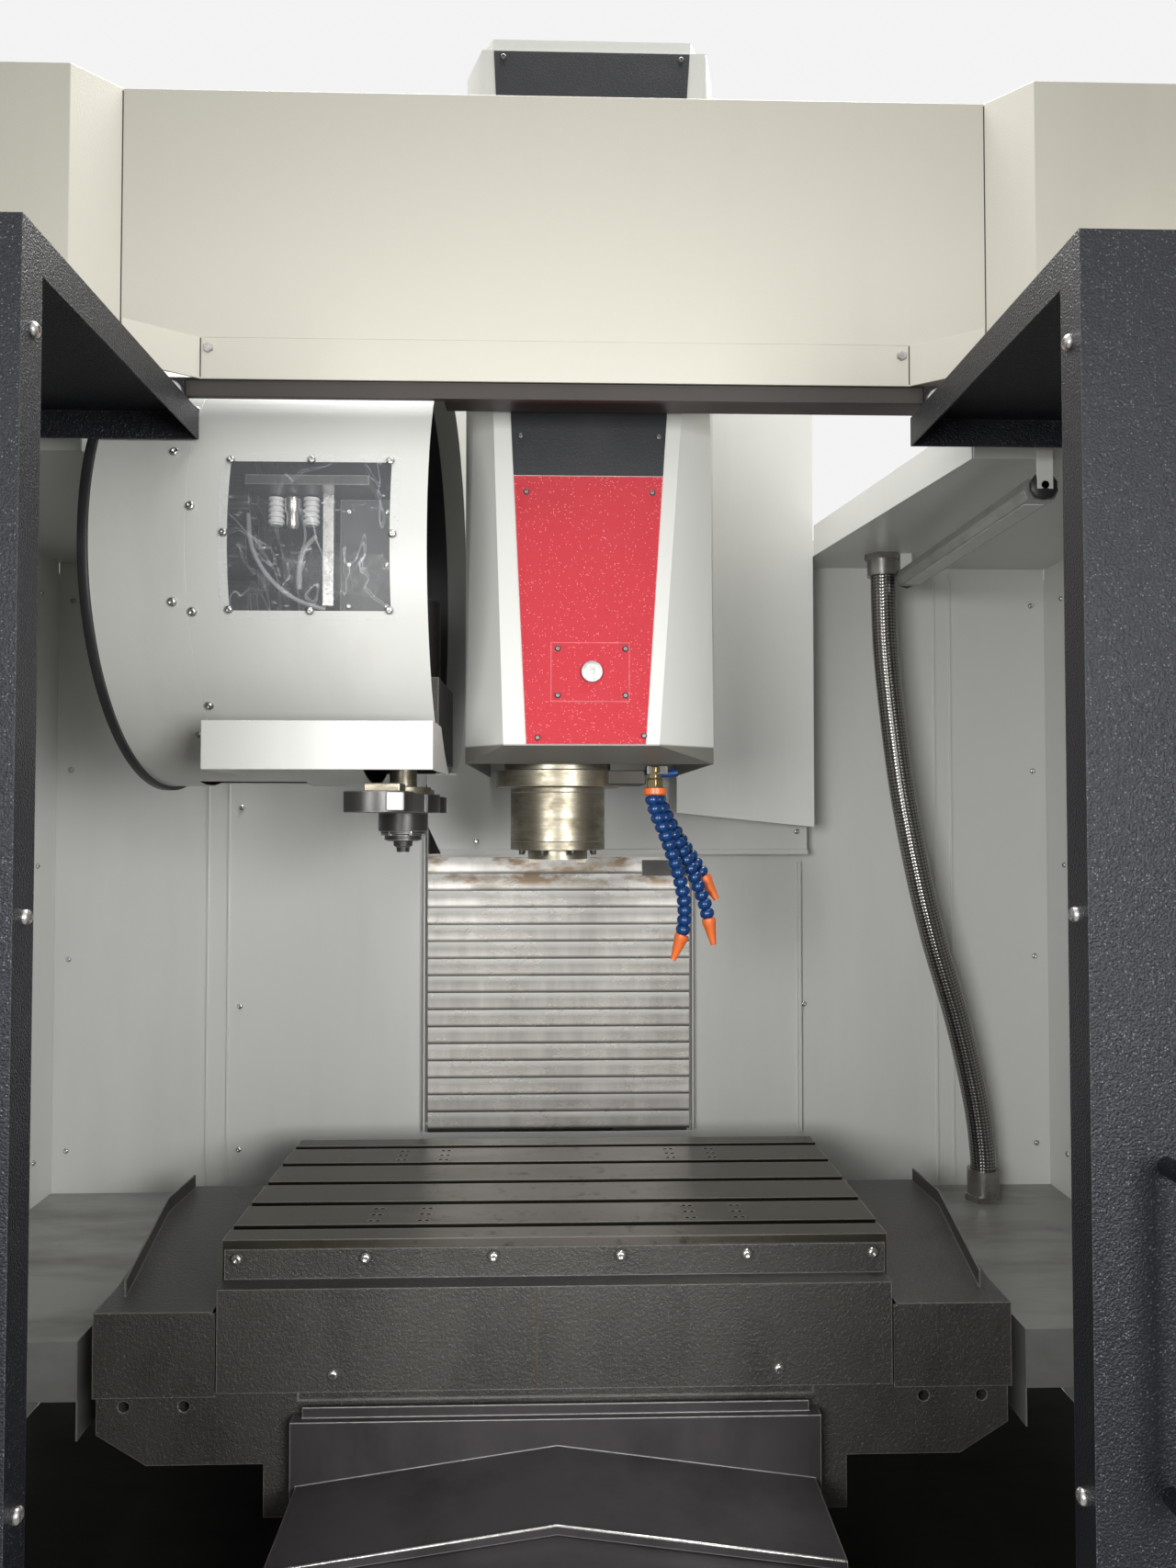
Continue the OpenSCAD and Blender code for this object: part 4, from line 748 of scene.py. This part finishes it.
row("hatch_screws", button_screw(0.0048), [
    facing((x, panel_y - 0.002, z), front) for x in (0.0, 0.101) for z in (1.683, 1.753)],
    dark_steel, "head", "dark_steel")
plug = turned("hatch_plug", [
    (0.0162, 0.0), (0.0162, 0.0060), (0.0150, 0.0074), (0.0125, 0.0078), (0.0120, 0.0072), (0.0040, 0.0072),
    (0.0035, 0.0064)], sides=40)
row("hatch_plug", plug, [facing((0.051, panel_y - 0.0022, 1.718), front)], surface(
    "turned_aluminium", (0.42, 0.42, 0.41), 0.42, 0.6, dirt=((0.25, 0.25, 0.24), even, 80, 0.45, 0.8)),
    "head", "stainless")

# The spindle: a ground steel cartridge with a bolted flange, wet with oil. The nose carries a ring of
# screws, and the shaft has its two drive keys.
oily_steel = surface(
    "oily_steel", (0.25, 0.23, 0.18), 0.34, 0.85, dirt=((0.13, 0.11, 0.07), (1, 1, 2.5), 22, 0.42, 0.72),
    brush=((1, 1, 50), 9, 0.12), bump=0.04, wear=(0.002, 0.7, (0.55, 0.53, 0.48)), rougher=0.18)
bracket_x, bracket_z = 0.0813, 1.5525


def bracket_arm(tree):
    """The blackened arm of the nozzle bracket, beside the flange."""
    place = axes(tree)
    beside = calc(tree, "GREATER_THAN", place["X"], bracket_x)
    above = calc(tree, "GREATER_THAN", place["Z"], bracket_z)
    return calc(tree, "MULTIPLY", beside, above)


rounded("spindle_cartridge", 0.0015, over(oily_steel.copy(), bracket_arm, (0.024, 0.022, 0.019)))
rounded("spindle_shaft", 0.0008, oily_steel)
down = (0, 0, -1)


def cap_screw(r):
    """A socket-head cap screw."""
    return turned("cap_screw", [
        (r, 0.0), (r, 1.5 * r), (0.88 * r, 1.7 * r), (0.55 * r, 1.7 * r), (0.52 * r, 0.9 * r),
        (0.05 * r, 0.9 * r)], sides=18)


def ring_of(count, r, z, start=0.0):
    """Places round the spindle axis, pointing down."""
    turns = [start + 2 * math.pi * k / count for k in range(count)]
    return [facing((r * math.cos(t), r * math.sin(t), z), down, t) for t in turns]


row("nose_screws", cap_screw(0.0045), ring_of(8, 0.063, 1.448, 0.39), dark_steel, "head", "dark_steel")
groove = turned("nose_groove", [(0.0772, -0.0008), (0.0776, 0.0), (0.0772, 0.0008)], sides=72)
row("nose_groove", groove, [Matrix.Translation((0, 0, 1.462)), Matrix.Translation((0, 0, 1.541))],
    dark_steel, "head", "dark_steel")

# The coolant nozzles: a manifold block with a brass fitting and a blue elbow, an orange collar and three
# chains of blue plastic ball links that snap into each other. Each chain ends in an orange cone.
brass = surface("brass", (0.42, 0.33, 0.16), 0.28, 0.9, dirt=((0.16, 0.12, 0.07), even, 40, 0.45, 0.8),
                grain_at=(900, 0.5), bump=0.04)
blue_link = surface("blue_link", (0.006, 0.040, 0.150), 0.20, dirt=(
    (0.005, 0.024, 0.085), even, 40, 0.45, 0.85))
orange_plastic = surface("orange_plastic", (0.72, 0.15, 0.030), 0.34, dirt=(
    (0.50, 0.10, 0.020), even, 40, 0.45, 0.9))
chains = [
    [(0.148, -0.075, 1.536), (0.155, -0.076, 1.508), (0.168, -0.077, 1.479), (0.180, -0.078, 1.445),
     (0.192, -0.078, 1.406), (0.200, -0.077, 1.370), (0.200, -0.075, 1.334), (0.196, -0.074, 1.316),
     (0.186, -0.072, 1.286)],
    [(0.158, -0.060, 1.536), (0.169, -0.060, 1.503), (0.186, -0.058, 1.471), (0.205, -0.057, 1.435),
     (0.220, -0.057, 1.403), (0.233, -0.058, 1.369), (0.239, -0.060, 1.344), (0.246, -0.062, 1.308)],
    [(0.160, -0.052, 1.536), (0.176, -0.044, 1.500), (0.200, -0.037, 1.462), (0.221, -0.036, 1.430),
     (0.238, -0.037, 1.402), (0.252, -0.040, 1.376)],
]
link_pitch, nozzle_length = 0.0152, 0.042
port_x, port_y = 0.155, -0.064
link_places, nozzle_places = [], []
for chain in chains:
    path = smooth_path(chain, 2)
    reach = sum((b - a).length for a, b in zip(path, path[1:]))
    at, left = path[0], 0.0
    for a, b in zip(path, path[1:]):
        way = (b - a).normalized()
        while left < (b - a).length and reach > nozzle_length:
            link_places.append(facing(a + way * left, way))
            left += link_pitch
            reach -= link_pitch
            at = a + way * left
        left -= (b - a).length
    nozzle_places.append(facing(at, path[-1] - at))
link = turned("ball_link", [
    (0.0060, 0.0), (0.0096, 0.0014), (0.0114, 0.0046), (0.0118, 0.0078), (0.0110, 0.0112), (0.0086, 0.0140),
    (0.0066, 0.0152), (0.0062, 0.0172)], sides=20)
row("ball_links", link, link_places, blue_link, "head", "blue_plastic")
nozzle = turned("nozzle", [
    (0.0066, 0.0), (0.0108, 0.0006), (0.0112, 0.0080), (0.0098, 0.0120), (0.0052, 0.0380), (0.0048, 0.0430),
    (0.0034, 0.0430), (0.0032, 0.0350)], sides=24)
row("nozzles", nozzle, nozzle_places, orange_plastic, "head", "blue_plastic")
collar = turned("collar", [
    (0.0150, 0.0), (0.0185, 0.0010), (0.0185, 0.0100), (0.0165, 0.0120), (0.0120, 0.0125)], sides=28)
row("collar", collar, [facing((port_x, port_y, 1.548), down)], orange_plastic, "head", "blue_plastic")
fitting = turned("brass_fitting", [
    (0.0125, 0.0), (0.0150, 0.0010), (0.0150, 0.0100), (0.0115, 0.0120), (0.0115, 0.0200), (0.0140, 0.0210),
    (0.0140, 0.0340)], sides=6)
modify(fitting, "BEVEL", width=0.0008, segments=2, limit_method="ANGLE", angle_limit=math.radians(40))
row("brass_fitting", fitting, [facing((port_x, port_y, 1.582), down)], brass, "head", "dark_steel")
elbow_route = [(0.160, -0.066, 1.570), (0.176, -0.068, 1.570), (0.190, -0.068, 1.572)]
elbow, _ = hose("coolant_elbow", elbow_route, 0.0062, sides=16, rounds=2)
finish(elbow, blue_link, "head", "blue_plastic")
manifold = slab("coolant_manifold", (0.158, -0.055, 1.5760), (0.034, 0.040, 0.015), 0.002, steps=3)
finish(manifold, dark_steel, "head", "blue_plastic", "coolant_lines")

# The tool magazine's cover: a white drum of rolled sheet in two parts, joined by screws beside the seam,
# with a black edge trim on its outer rim and a clear film screwed over its window.
drum_y, drum_z, drum_r = 0.010, 1.882, 0.330
end_cover_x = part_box("magazine_end_cover")[0].x


def drum_inside_painted_shade(tree):
    """The inner side of the rolled sheet, darkened as painted shade inside the drum."""
    place = own_place(tree)
    from_axis = add(tree, "VectorMath", {0: place, 1: (0.0, drum_y, drum_z)}, operation="SUBTRACT").outputs[0]
    radial = add(tree, "VectorMath", {0: from_axis, 1: (0.0, 1.0, 1.0)}, operation="MULTIPLY").outputs[0]
    reach = add(tree, "VectorMath", {0: radial}, operation="LENGTH").outputs["Value"]
    under = calc(tree, "LESS_THAN", reach, drum_r - 0.0016)
    across = axes(tree)["X"]
    past_end = calc(tree, "GREATER_THAN", across, end_cover_x + 0.0085)
    before_rim = calc(tree, "LESS_THAN", across, -0.215)
    between = calc(tree, "MULTIPLY", past_end, before_rim)
    return calc(tree, "MULTIPLY", under, between)


# Painted shade: the inner side of the drum's sheet is darkened.
drum_coat_painted_shade = over(white_coat.copy(), drum_inside_painted_shade, (0.035, 0.036, 0.040))
rounded("magazine_cover", 0.0010, drum_coat_painted_shade)
rounded("magazine_end_cover", 0.0010, drum_coat_painted_shade)


def on_drum(x, angle, out=0.0):
    """A place on the drum's skin, at an angle above its foremost line, facing outwards."""
    away = Vector((0, -math.cos(math.radians(angle)), math.sin(math.radians(angle))))
    return facing(Vector((x, drum_y, drum_z)) + away * (drum_r + out), away)


trim = turned("drum_edge_trim", [
    (0.3295, 0.0), (0.3364, 0.0003), (0.3372, 0.0020), (0.3372, 0.0110), (0.3364, 0.0128), (0.3305, 0.0129)],
    sides=144)
activate(trim)
bpy.ops.object.mode_set(mode="EDIT")
bpy.ops.mesh.select_mode(type="FACE")
bpy.ops.mesh.select_all(action="DESELECT")
bpy.ops.object.mode_set(mode="OBJECT")
for face in trim.data.polygons:
    face.select = len(face.vertices) > 4
bpy.ops.object.mode_set(mode="EDIT")
bpy.ops.mesh.delete(type="FACE")
bpy.ops.object.mode_set(mode="OBJECT")
row("drum_edge_trim", trim, [facing((end_cover_x - 0.0003, drum_y, drum_z), (1, 0, 0))], black_rubber,
    "machine_base", "black_plastic")
row("drum_screws", button_screw(0.0068), [
    on_drum(-0.526, 21.4), on_drum(-0.523, -15.5), on_drum(-0.521, -52.1), on_drum(-0.511, 35.8),
    on_drum(-0.497, 7.0), on_drum(-0.497, -17.8), on_drum(-0.495, -42.2), on_drum(-0.520, 58.0)])
row("window_screws", button_screw(0.0058), [
    on_drum(x, angle, 0.0022) for x, angle in (
        (-0.447, 19.0), (-0.3375, 19.2), (-0.230, 19.0), (-0.451, 0.6), (-0.224, 0.6), (-0.447, -17.2),
        (-0.3375, -17.4), (-0.230, -17.2))])


def clear_film():
    """Soft clear film: mostly clear, cloudy and crinkled where it is pulled tight."""
    mat, tree, shader = bare_material("clear_film", 0.06, 0.0)
    shader.inputs["Base Color"].default_value = (0.80, 0.84, 0.88, 1.0)
    folds = shared(tree, grime, (1.2, 1.0, 2.6), 11.0, 0.50, 0.66)
    fine = shared(tree, grime, (2.5, 1.0, 7.0), 30.0, 0.60, 0.70)
    cloudy = calc(tree, "MULTIPLY", folds, fine)
    swirl = add(tree, "TexNoise", {"Vector": stretched(tree, (1.0, 1.0, 0.55)), "Scale": 9.0, "Detail": 2.0,
                                   "Distortion": 2.2}).outputs["Fac"]
    apart = calc(tree, "ABSOLUTE", calc(tree, "SUBTRACT", swirl, 0.52))
    crease = ramp(tree, apart, (0.006, 0.001), (0, 0.32))
    cloudy = calc(tree, "MAXIMUM", cloudy, crease)
    alpha = ramp(tree, cloudy, (0, 1), (0.05, 0.60))
    relief = add(tree, "Bump", {"Height": shared(tree, grain, 26.0, 0.6), "Strength": 0.55, "Distance": 0.004})
    tree.links.new(alpha, shader.inputs["Alpha"])
    tree.links.new(relief.outputs["Normal"], shader.inputs["Normal"])
    return mat


rounded("magazine_window", 0.0003, clear_film())

# Behind the film: the magazine's valve bar with two ribbed connectors and a sensor, a cable bar, a
# bolted plate and two thin air lines.
grey_plastic = surface("grey_plastic", (0.22, 0.22, 0.22), 0.45, dirt=((0.14, 0.14, 0.13), even, 9, 0.5, 0.9),
                       grain_at=(600, 0.5), bump=0.05)
ribs = [(0.0085, 0.0)]
for k in range(5):
    ribs += [(0.0115, k * 0.008 + 0.001), (0.0115, k * 0.008 + 0.005), (0.0090, k * 0.008 + 0.006),
             (0.0090, k * 0.008 + 0.008)]
connector = turned("ribbed_connector", ribs, sides=18)
white_plastic = surface("white_plastic", (0.58, 0.58, 0.57), 0.4, dirt=((0.45, 0.45, 0.43), even, 40, 0.5, 0.9))
row("connectors", connector, [facing((x, -0.236, 1.958), down) for x in (-0.402, -0.352)],
    white_plastic, "machine_base", "grey_plastic")
sensor = turned("sensor", [
    (0.010, 0.0), (0.012, 0.002), (0.012, 0.020), (0.009, 0.024), (0.009, 0.040), (0.006, 0.046)], sides=18)
row("sensor", sensor, [facing((-0.378, -0.238, 1.958), down)])
for name, middle, size, material, slot in (
        ("valve_bar", (-0.345, -0.262, 1.966), (0.170, 0.070, 0.014), dark_steel, "dark_steel"),
        ("cable_bar", (-0.326, -0.244, 1.880), (0.016, 0.010, 0.160), bright_steel, "stainless"),
        ("bolted_plate", (-0.266, -0.236, 1.866), (0.090, 0.006, 0.180), dark_steel, "dark_steel")):
    finish(slab(name, middle, size, 0.0012), material, "machine_base", slot)
row("plate_bolts", button_screw(0.0045), [
    facing((x, -0.239, z), front) for x in (-0.298, -0.244) for z in (1.938, 1.862, 1.802)])
for name, points in (
        ("air_line_long", [(-0.438, -0.250, 1.930), (-0.430, -0.270, 1.880), (-0.405, -0.272, 1.835),
                           (-0.370, -0.262, 1.806), (-0.330, -0.246, 1.796)]),
        ("air_line_short", [(-0.345, -0.244, 1.900), (-0.356, -0.262, 1.880), (-0.364, -0.262, 1.850),
                            (-0.366, -0.250, 1.825)])):
    line, _ = hose(name, points, 0.0035, sides=10, rounds=2)
    finish(line, grey_plastic, "machine_base", "grey_plastic")

# The magazine's disc and tool pots: a turned steel disc with pots round its edge, one of which tilts
# down to the change arm.
rounded("magazine_disc", 0.0008, dark_steel)
rounded("change_pot", 0.0008, dark_steel)

# The tool changer: a folded cover over the cam box, and a forged double arm on its shaft, with a gripper
# block on each end, a plastic finger and a screwed cap under the hub.
rounded("changer_cover", 0.0015, white_coat)
rounded("changer_arm", 0.0015, dark_steel)
rounded("arm_shaft", 0.0010, oily_steel)
hub_x, hub_z, grip_z = -0.253, 1.478, 1.5445
hub_cap = turned("hub_cap", [
    (0.036, 0.0), (0.036, 0.004), (0.030, 0.006), (0.030, 0.014), (0.024, 0.016), (0.016, 0.016),
    (0.015, 0.024), (0.011, 0.026), (0.010, 0.034)], sides=32)
row("hub_cap", hub_cap, [facing((hub_x, 0.0, hub_z), down)], dark_steel, "changer_arm", "dark_steel")
row("hub_screws", cap_screw(0.0042), [
    facing((hub_x + 0.032 * math.cos(t), 0.032 * math.sin(t), hub_z), down)
    for t in (2 * math.pi * k / 6 for k in range(6))], body="changer_arm")
for name, middle, size, material in (
        ("gripper_finger", (-0.222, -0.2960, 1.5235), (0.023, 0.014, 0.025), white_plastic),
        ("gripper_block_front", (hub_x, -0.190, grip_z), (0.052, 0.060, 0.013), oily_steel),
        ("gripper_block_rear", (hub_x, 0.190, grip_z), (0.052, 0.060, 0.013), oily_steel)):
    finish(slab(name, middle, size, 0.002), material, "changer_arm", "dark_steel")

# The work lamp: an aluminium extrusion with a frosted strip on its lower face, hung between two swivel
# brackets with clamp knobs.
lamp_shell = surface("lamp_shell", (0.34, 0.34, 0.33), 0.34, 0.5, dirt=((0.2, 0.2, 0.19), even, 20, 0.5, 0.9),
                     brush=((1, 0.05, 1), 300, 0.08))
rounded("work_lamp", 0.0010, lamp_shell)
lamp_low, lamp_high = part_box("work_lamp")
lamp_x = (lamp_low.x + lamp_high.x) / 2
strip = slab("lamp_strip", (lamp_x, 0.087, lamp_low.z - 0.0004), (0.030, 0.560, 0.0014), 0.0005)
finish(strip, surface("frosted_strip", (0.58, 0.60, 0.58), 0.5, dirt=((0.45, 0.46, 0.44), even, 30, 0.5, 0.9)),
       "work_lamp", slot_of["work_lamp"])
gasket_z = lamp_low.z - 0.0006
gasket, _ = hose("lamp_gasket", [(lamp_x + s * 0.0175, y, gasket_z) for s, y in (
    (-1, -0.196), (1, -0.196), (1, 0.370), (-1, 0.370), (-1, -0.196))], 0.0013, sides=6, rounds=0)
finish(gasket, black_rubber, "work_lamp", slot_of["work_lamp"])
knob = turned("clamp_knob", [
    (0.014, 0.0), (0.020, 0.002), (0.021, 0.010), (0.016, 0.013), (0.006, 0.014)], sides=10)
modify(knob, "BEVEL", width=0.0010, segments=2)
row("lamp_knobs", knob, [
    facing((lamp_x, y, 1.988), (0, way, 0)) for y, way in ((-0.218, -1), (0.392, 1))],
    black_rubber, "work_lamp", "black_plastic")

# The conduit's glands: hexagon nuts and sleeves of plated steel, screwed to the roof and to the right
# tray.
rounded("hose_fittings", 0.0012, surface(
    "plated_steel", (0.36, 0.35, 0.33), 0.28, 0.85, dirt=((0.16, 0.15, 0.14), even, 30, 0.45, 0.8)))

# The drives: ground rails, ball screws and motors, bolted to the castings behind the covers. The
# levelling feet under the bed are turned from the same steel.
ground_steel = surface(
    "ground_steel", (0.42, 0.41, 0.39), 0.26, 0.9, dirt=((0.16, 0.14, 0.10), even, 14, 0.45, 0.8),
    wear=(0.002, 0.4, (0.6, 0.59, 0.56)))
for node in ("axis_drives", "x_drive", "levelling_feet"):
    rounded(node, 0.001, ground_steel)
rounded("spindle_motor", 0.004, black_coat)

# The electrical cabinet at the rear: a folded steel case with its gear on a mounting plate. The door has
# louvres pressed in it, top and bottom.
rounded("electrical_cabinet", 0.002, pale_paint)
rounded("cabinet_door", 0.001, pale_paint)
rounded("cabinet_gear", 0.002, grey_plastic)
door_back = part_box("cabinet_door")[1].y - 0.023
louvre = turned("louvre", [
    (0.002, 0.0), (0.007, 0.004), (0.0075, 0.012), (0.0075, 0.128), (0.007, 0.136), (0.002, 0.140)], sides=12)
row("louvres", louvre, [
    facing((x, door_back - 0.0035, z + 0.020 * k), (1, 0, 0))
    for x in (-0.50, -0.30, 0.16, 0.36) for z in (0.42, 1.80) for k in range(10)],
    pale_paint, "cabinet_door", "light_grey_paint")

# The pendant: a cream box on an arm, with a dark face, a blank screen, rows of keys, a handwheel and a
# red mushroom button.
rounded("pendant_arm", 0.003, cream_coat)
rounded("pendant_box", 0.003, cream_coat)
black_plastic = surface(
    "black_plastic", (0.020, 0.020, 0.021), 0.38, dirt=((0.05, 0.05, 0.05), even, 12, 0.5, 0.95),
    grain_at=(600, 0.5), bump=0.05)
rounded("pendant_face", 0.001, black_plastic)
rounded("handwheel", 0.0015, black_plastic)
rounded("emergency_button", 0.002, surface("red_plastic", (0.55, 0.012, 0.010), 0.25, dirt=(
    (0.40, 0.01, 0.01), even, 20, 0.5, 0.95)))
face_y = -1.057
screen = slab("pendant_screen", (1.0, face_y + 0.0015, 1.605), (0.290, 0.003, 0.222), 0.001)
finish(screen, surface("screen_glass", (0.010, 0.014, 0.020), 0.05, dirt=(
    (0.02, 0.025, 0.03), even, 8, 0.5, 0.9)), "pendant", "black_plastic")
key = slab("key", (0, 0, 0), (0.0185, 0.0165, 0.0022), 0.0009)
row("keys", key, [facing((0.861 + 0.030 * i, face_y - 0.0036, 1.310 + 0.026 * j), front)
                  for i in range(10) for j in range(6)], grey_plastic, "pendant", "grey_plastic")

# The coolant tank: a folded steel tank on four wheels that slides under the machine.
rounded("coolant_tank", 0.0015, surface(
    "tank_paint", (0.30, 0.32, 0.34), 0.42, dirt=((0.17, 0.17, 0.17), upright, 5.0, 0.45, 0.85),
    grain_at=(500, 0.6), bump=0.08, wear=(0.002, 0.3, (0.5, 0.5, 0.5))))

# The floor and soft studio light: a pale floor, an even sky, a wide lamp over the machine's open top and
# one on each side of the operator that shines in through the doorway.
bpy.ops.mesh.primitive_plane_add(size=40, location=(0, 0, 0))
floor = bpy.context.object
floor.name = "studio_floor"
floor.data.materials.append(surface("studio_floor", (0.62, 0.62, 0.61), 0.6))
world = bpy.data.worlds.new("studio_sky")
world.use_nodes = True
sky = world.node_tree
sky.nodes.clear()
ray = add(sky, "LightPath").outputs
mirrored = calc(sky, "MAXIMUM", ray["Is Glossy Ray"], ray["Is Transmission Ray"])
seen = calc(sky, "MAXIMUM", ray["Is Camera Ray"], mirrored)
strength = ramp(sky, seen, (0, 1), (0.55, 0.90))
background = add(sky, "Background", {"Color": (1.0, 1.0, 1.0, 1.0), "Strength": strength})
world_out = add(sky, "OutputWorld")
sky.links.new(background.outputs[0], world_out.inputs["Surface"])
bpy.context.scene.world = world
for name, place, aim, size, spread, power in (
        ("roof_light", (0.1, 0.35, 3.6), (0.0, 0.1, 1.0), 1.6, 180, 115),
        ("right_light", (0.95, -2.5, 1.6), (-0.75, 0.5, 1.25), 0.9, 70, 10),
        ("left_light", (-0.85, -2.6, 1.6), (0.75, 0.5, 1.25), 0.9, 70, 8)):
    data = bpy.data.lights.new(name, "AREA")
    data.size = size
    data.spread = math.radians(spread)
    data.energy = power
    lamp = bpy.data.objects.new(name, data)
    lamp.location = place
    lamp.rotation_euler = (Vector(aim) - Vector(place)).to_track_quat("-Z", "Y").to_euler()
    bpy.context.scene.collection.objects.link(lamp)
bpy.context.scene.view_settings.view_transform = "Standard"
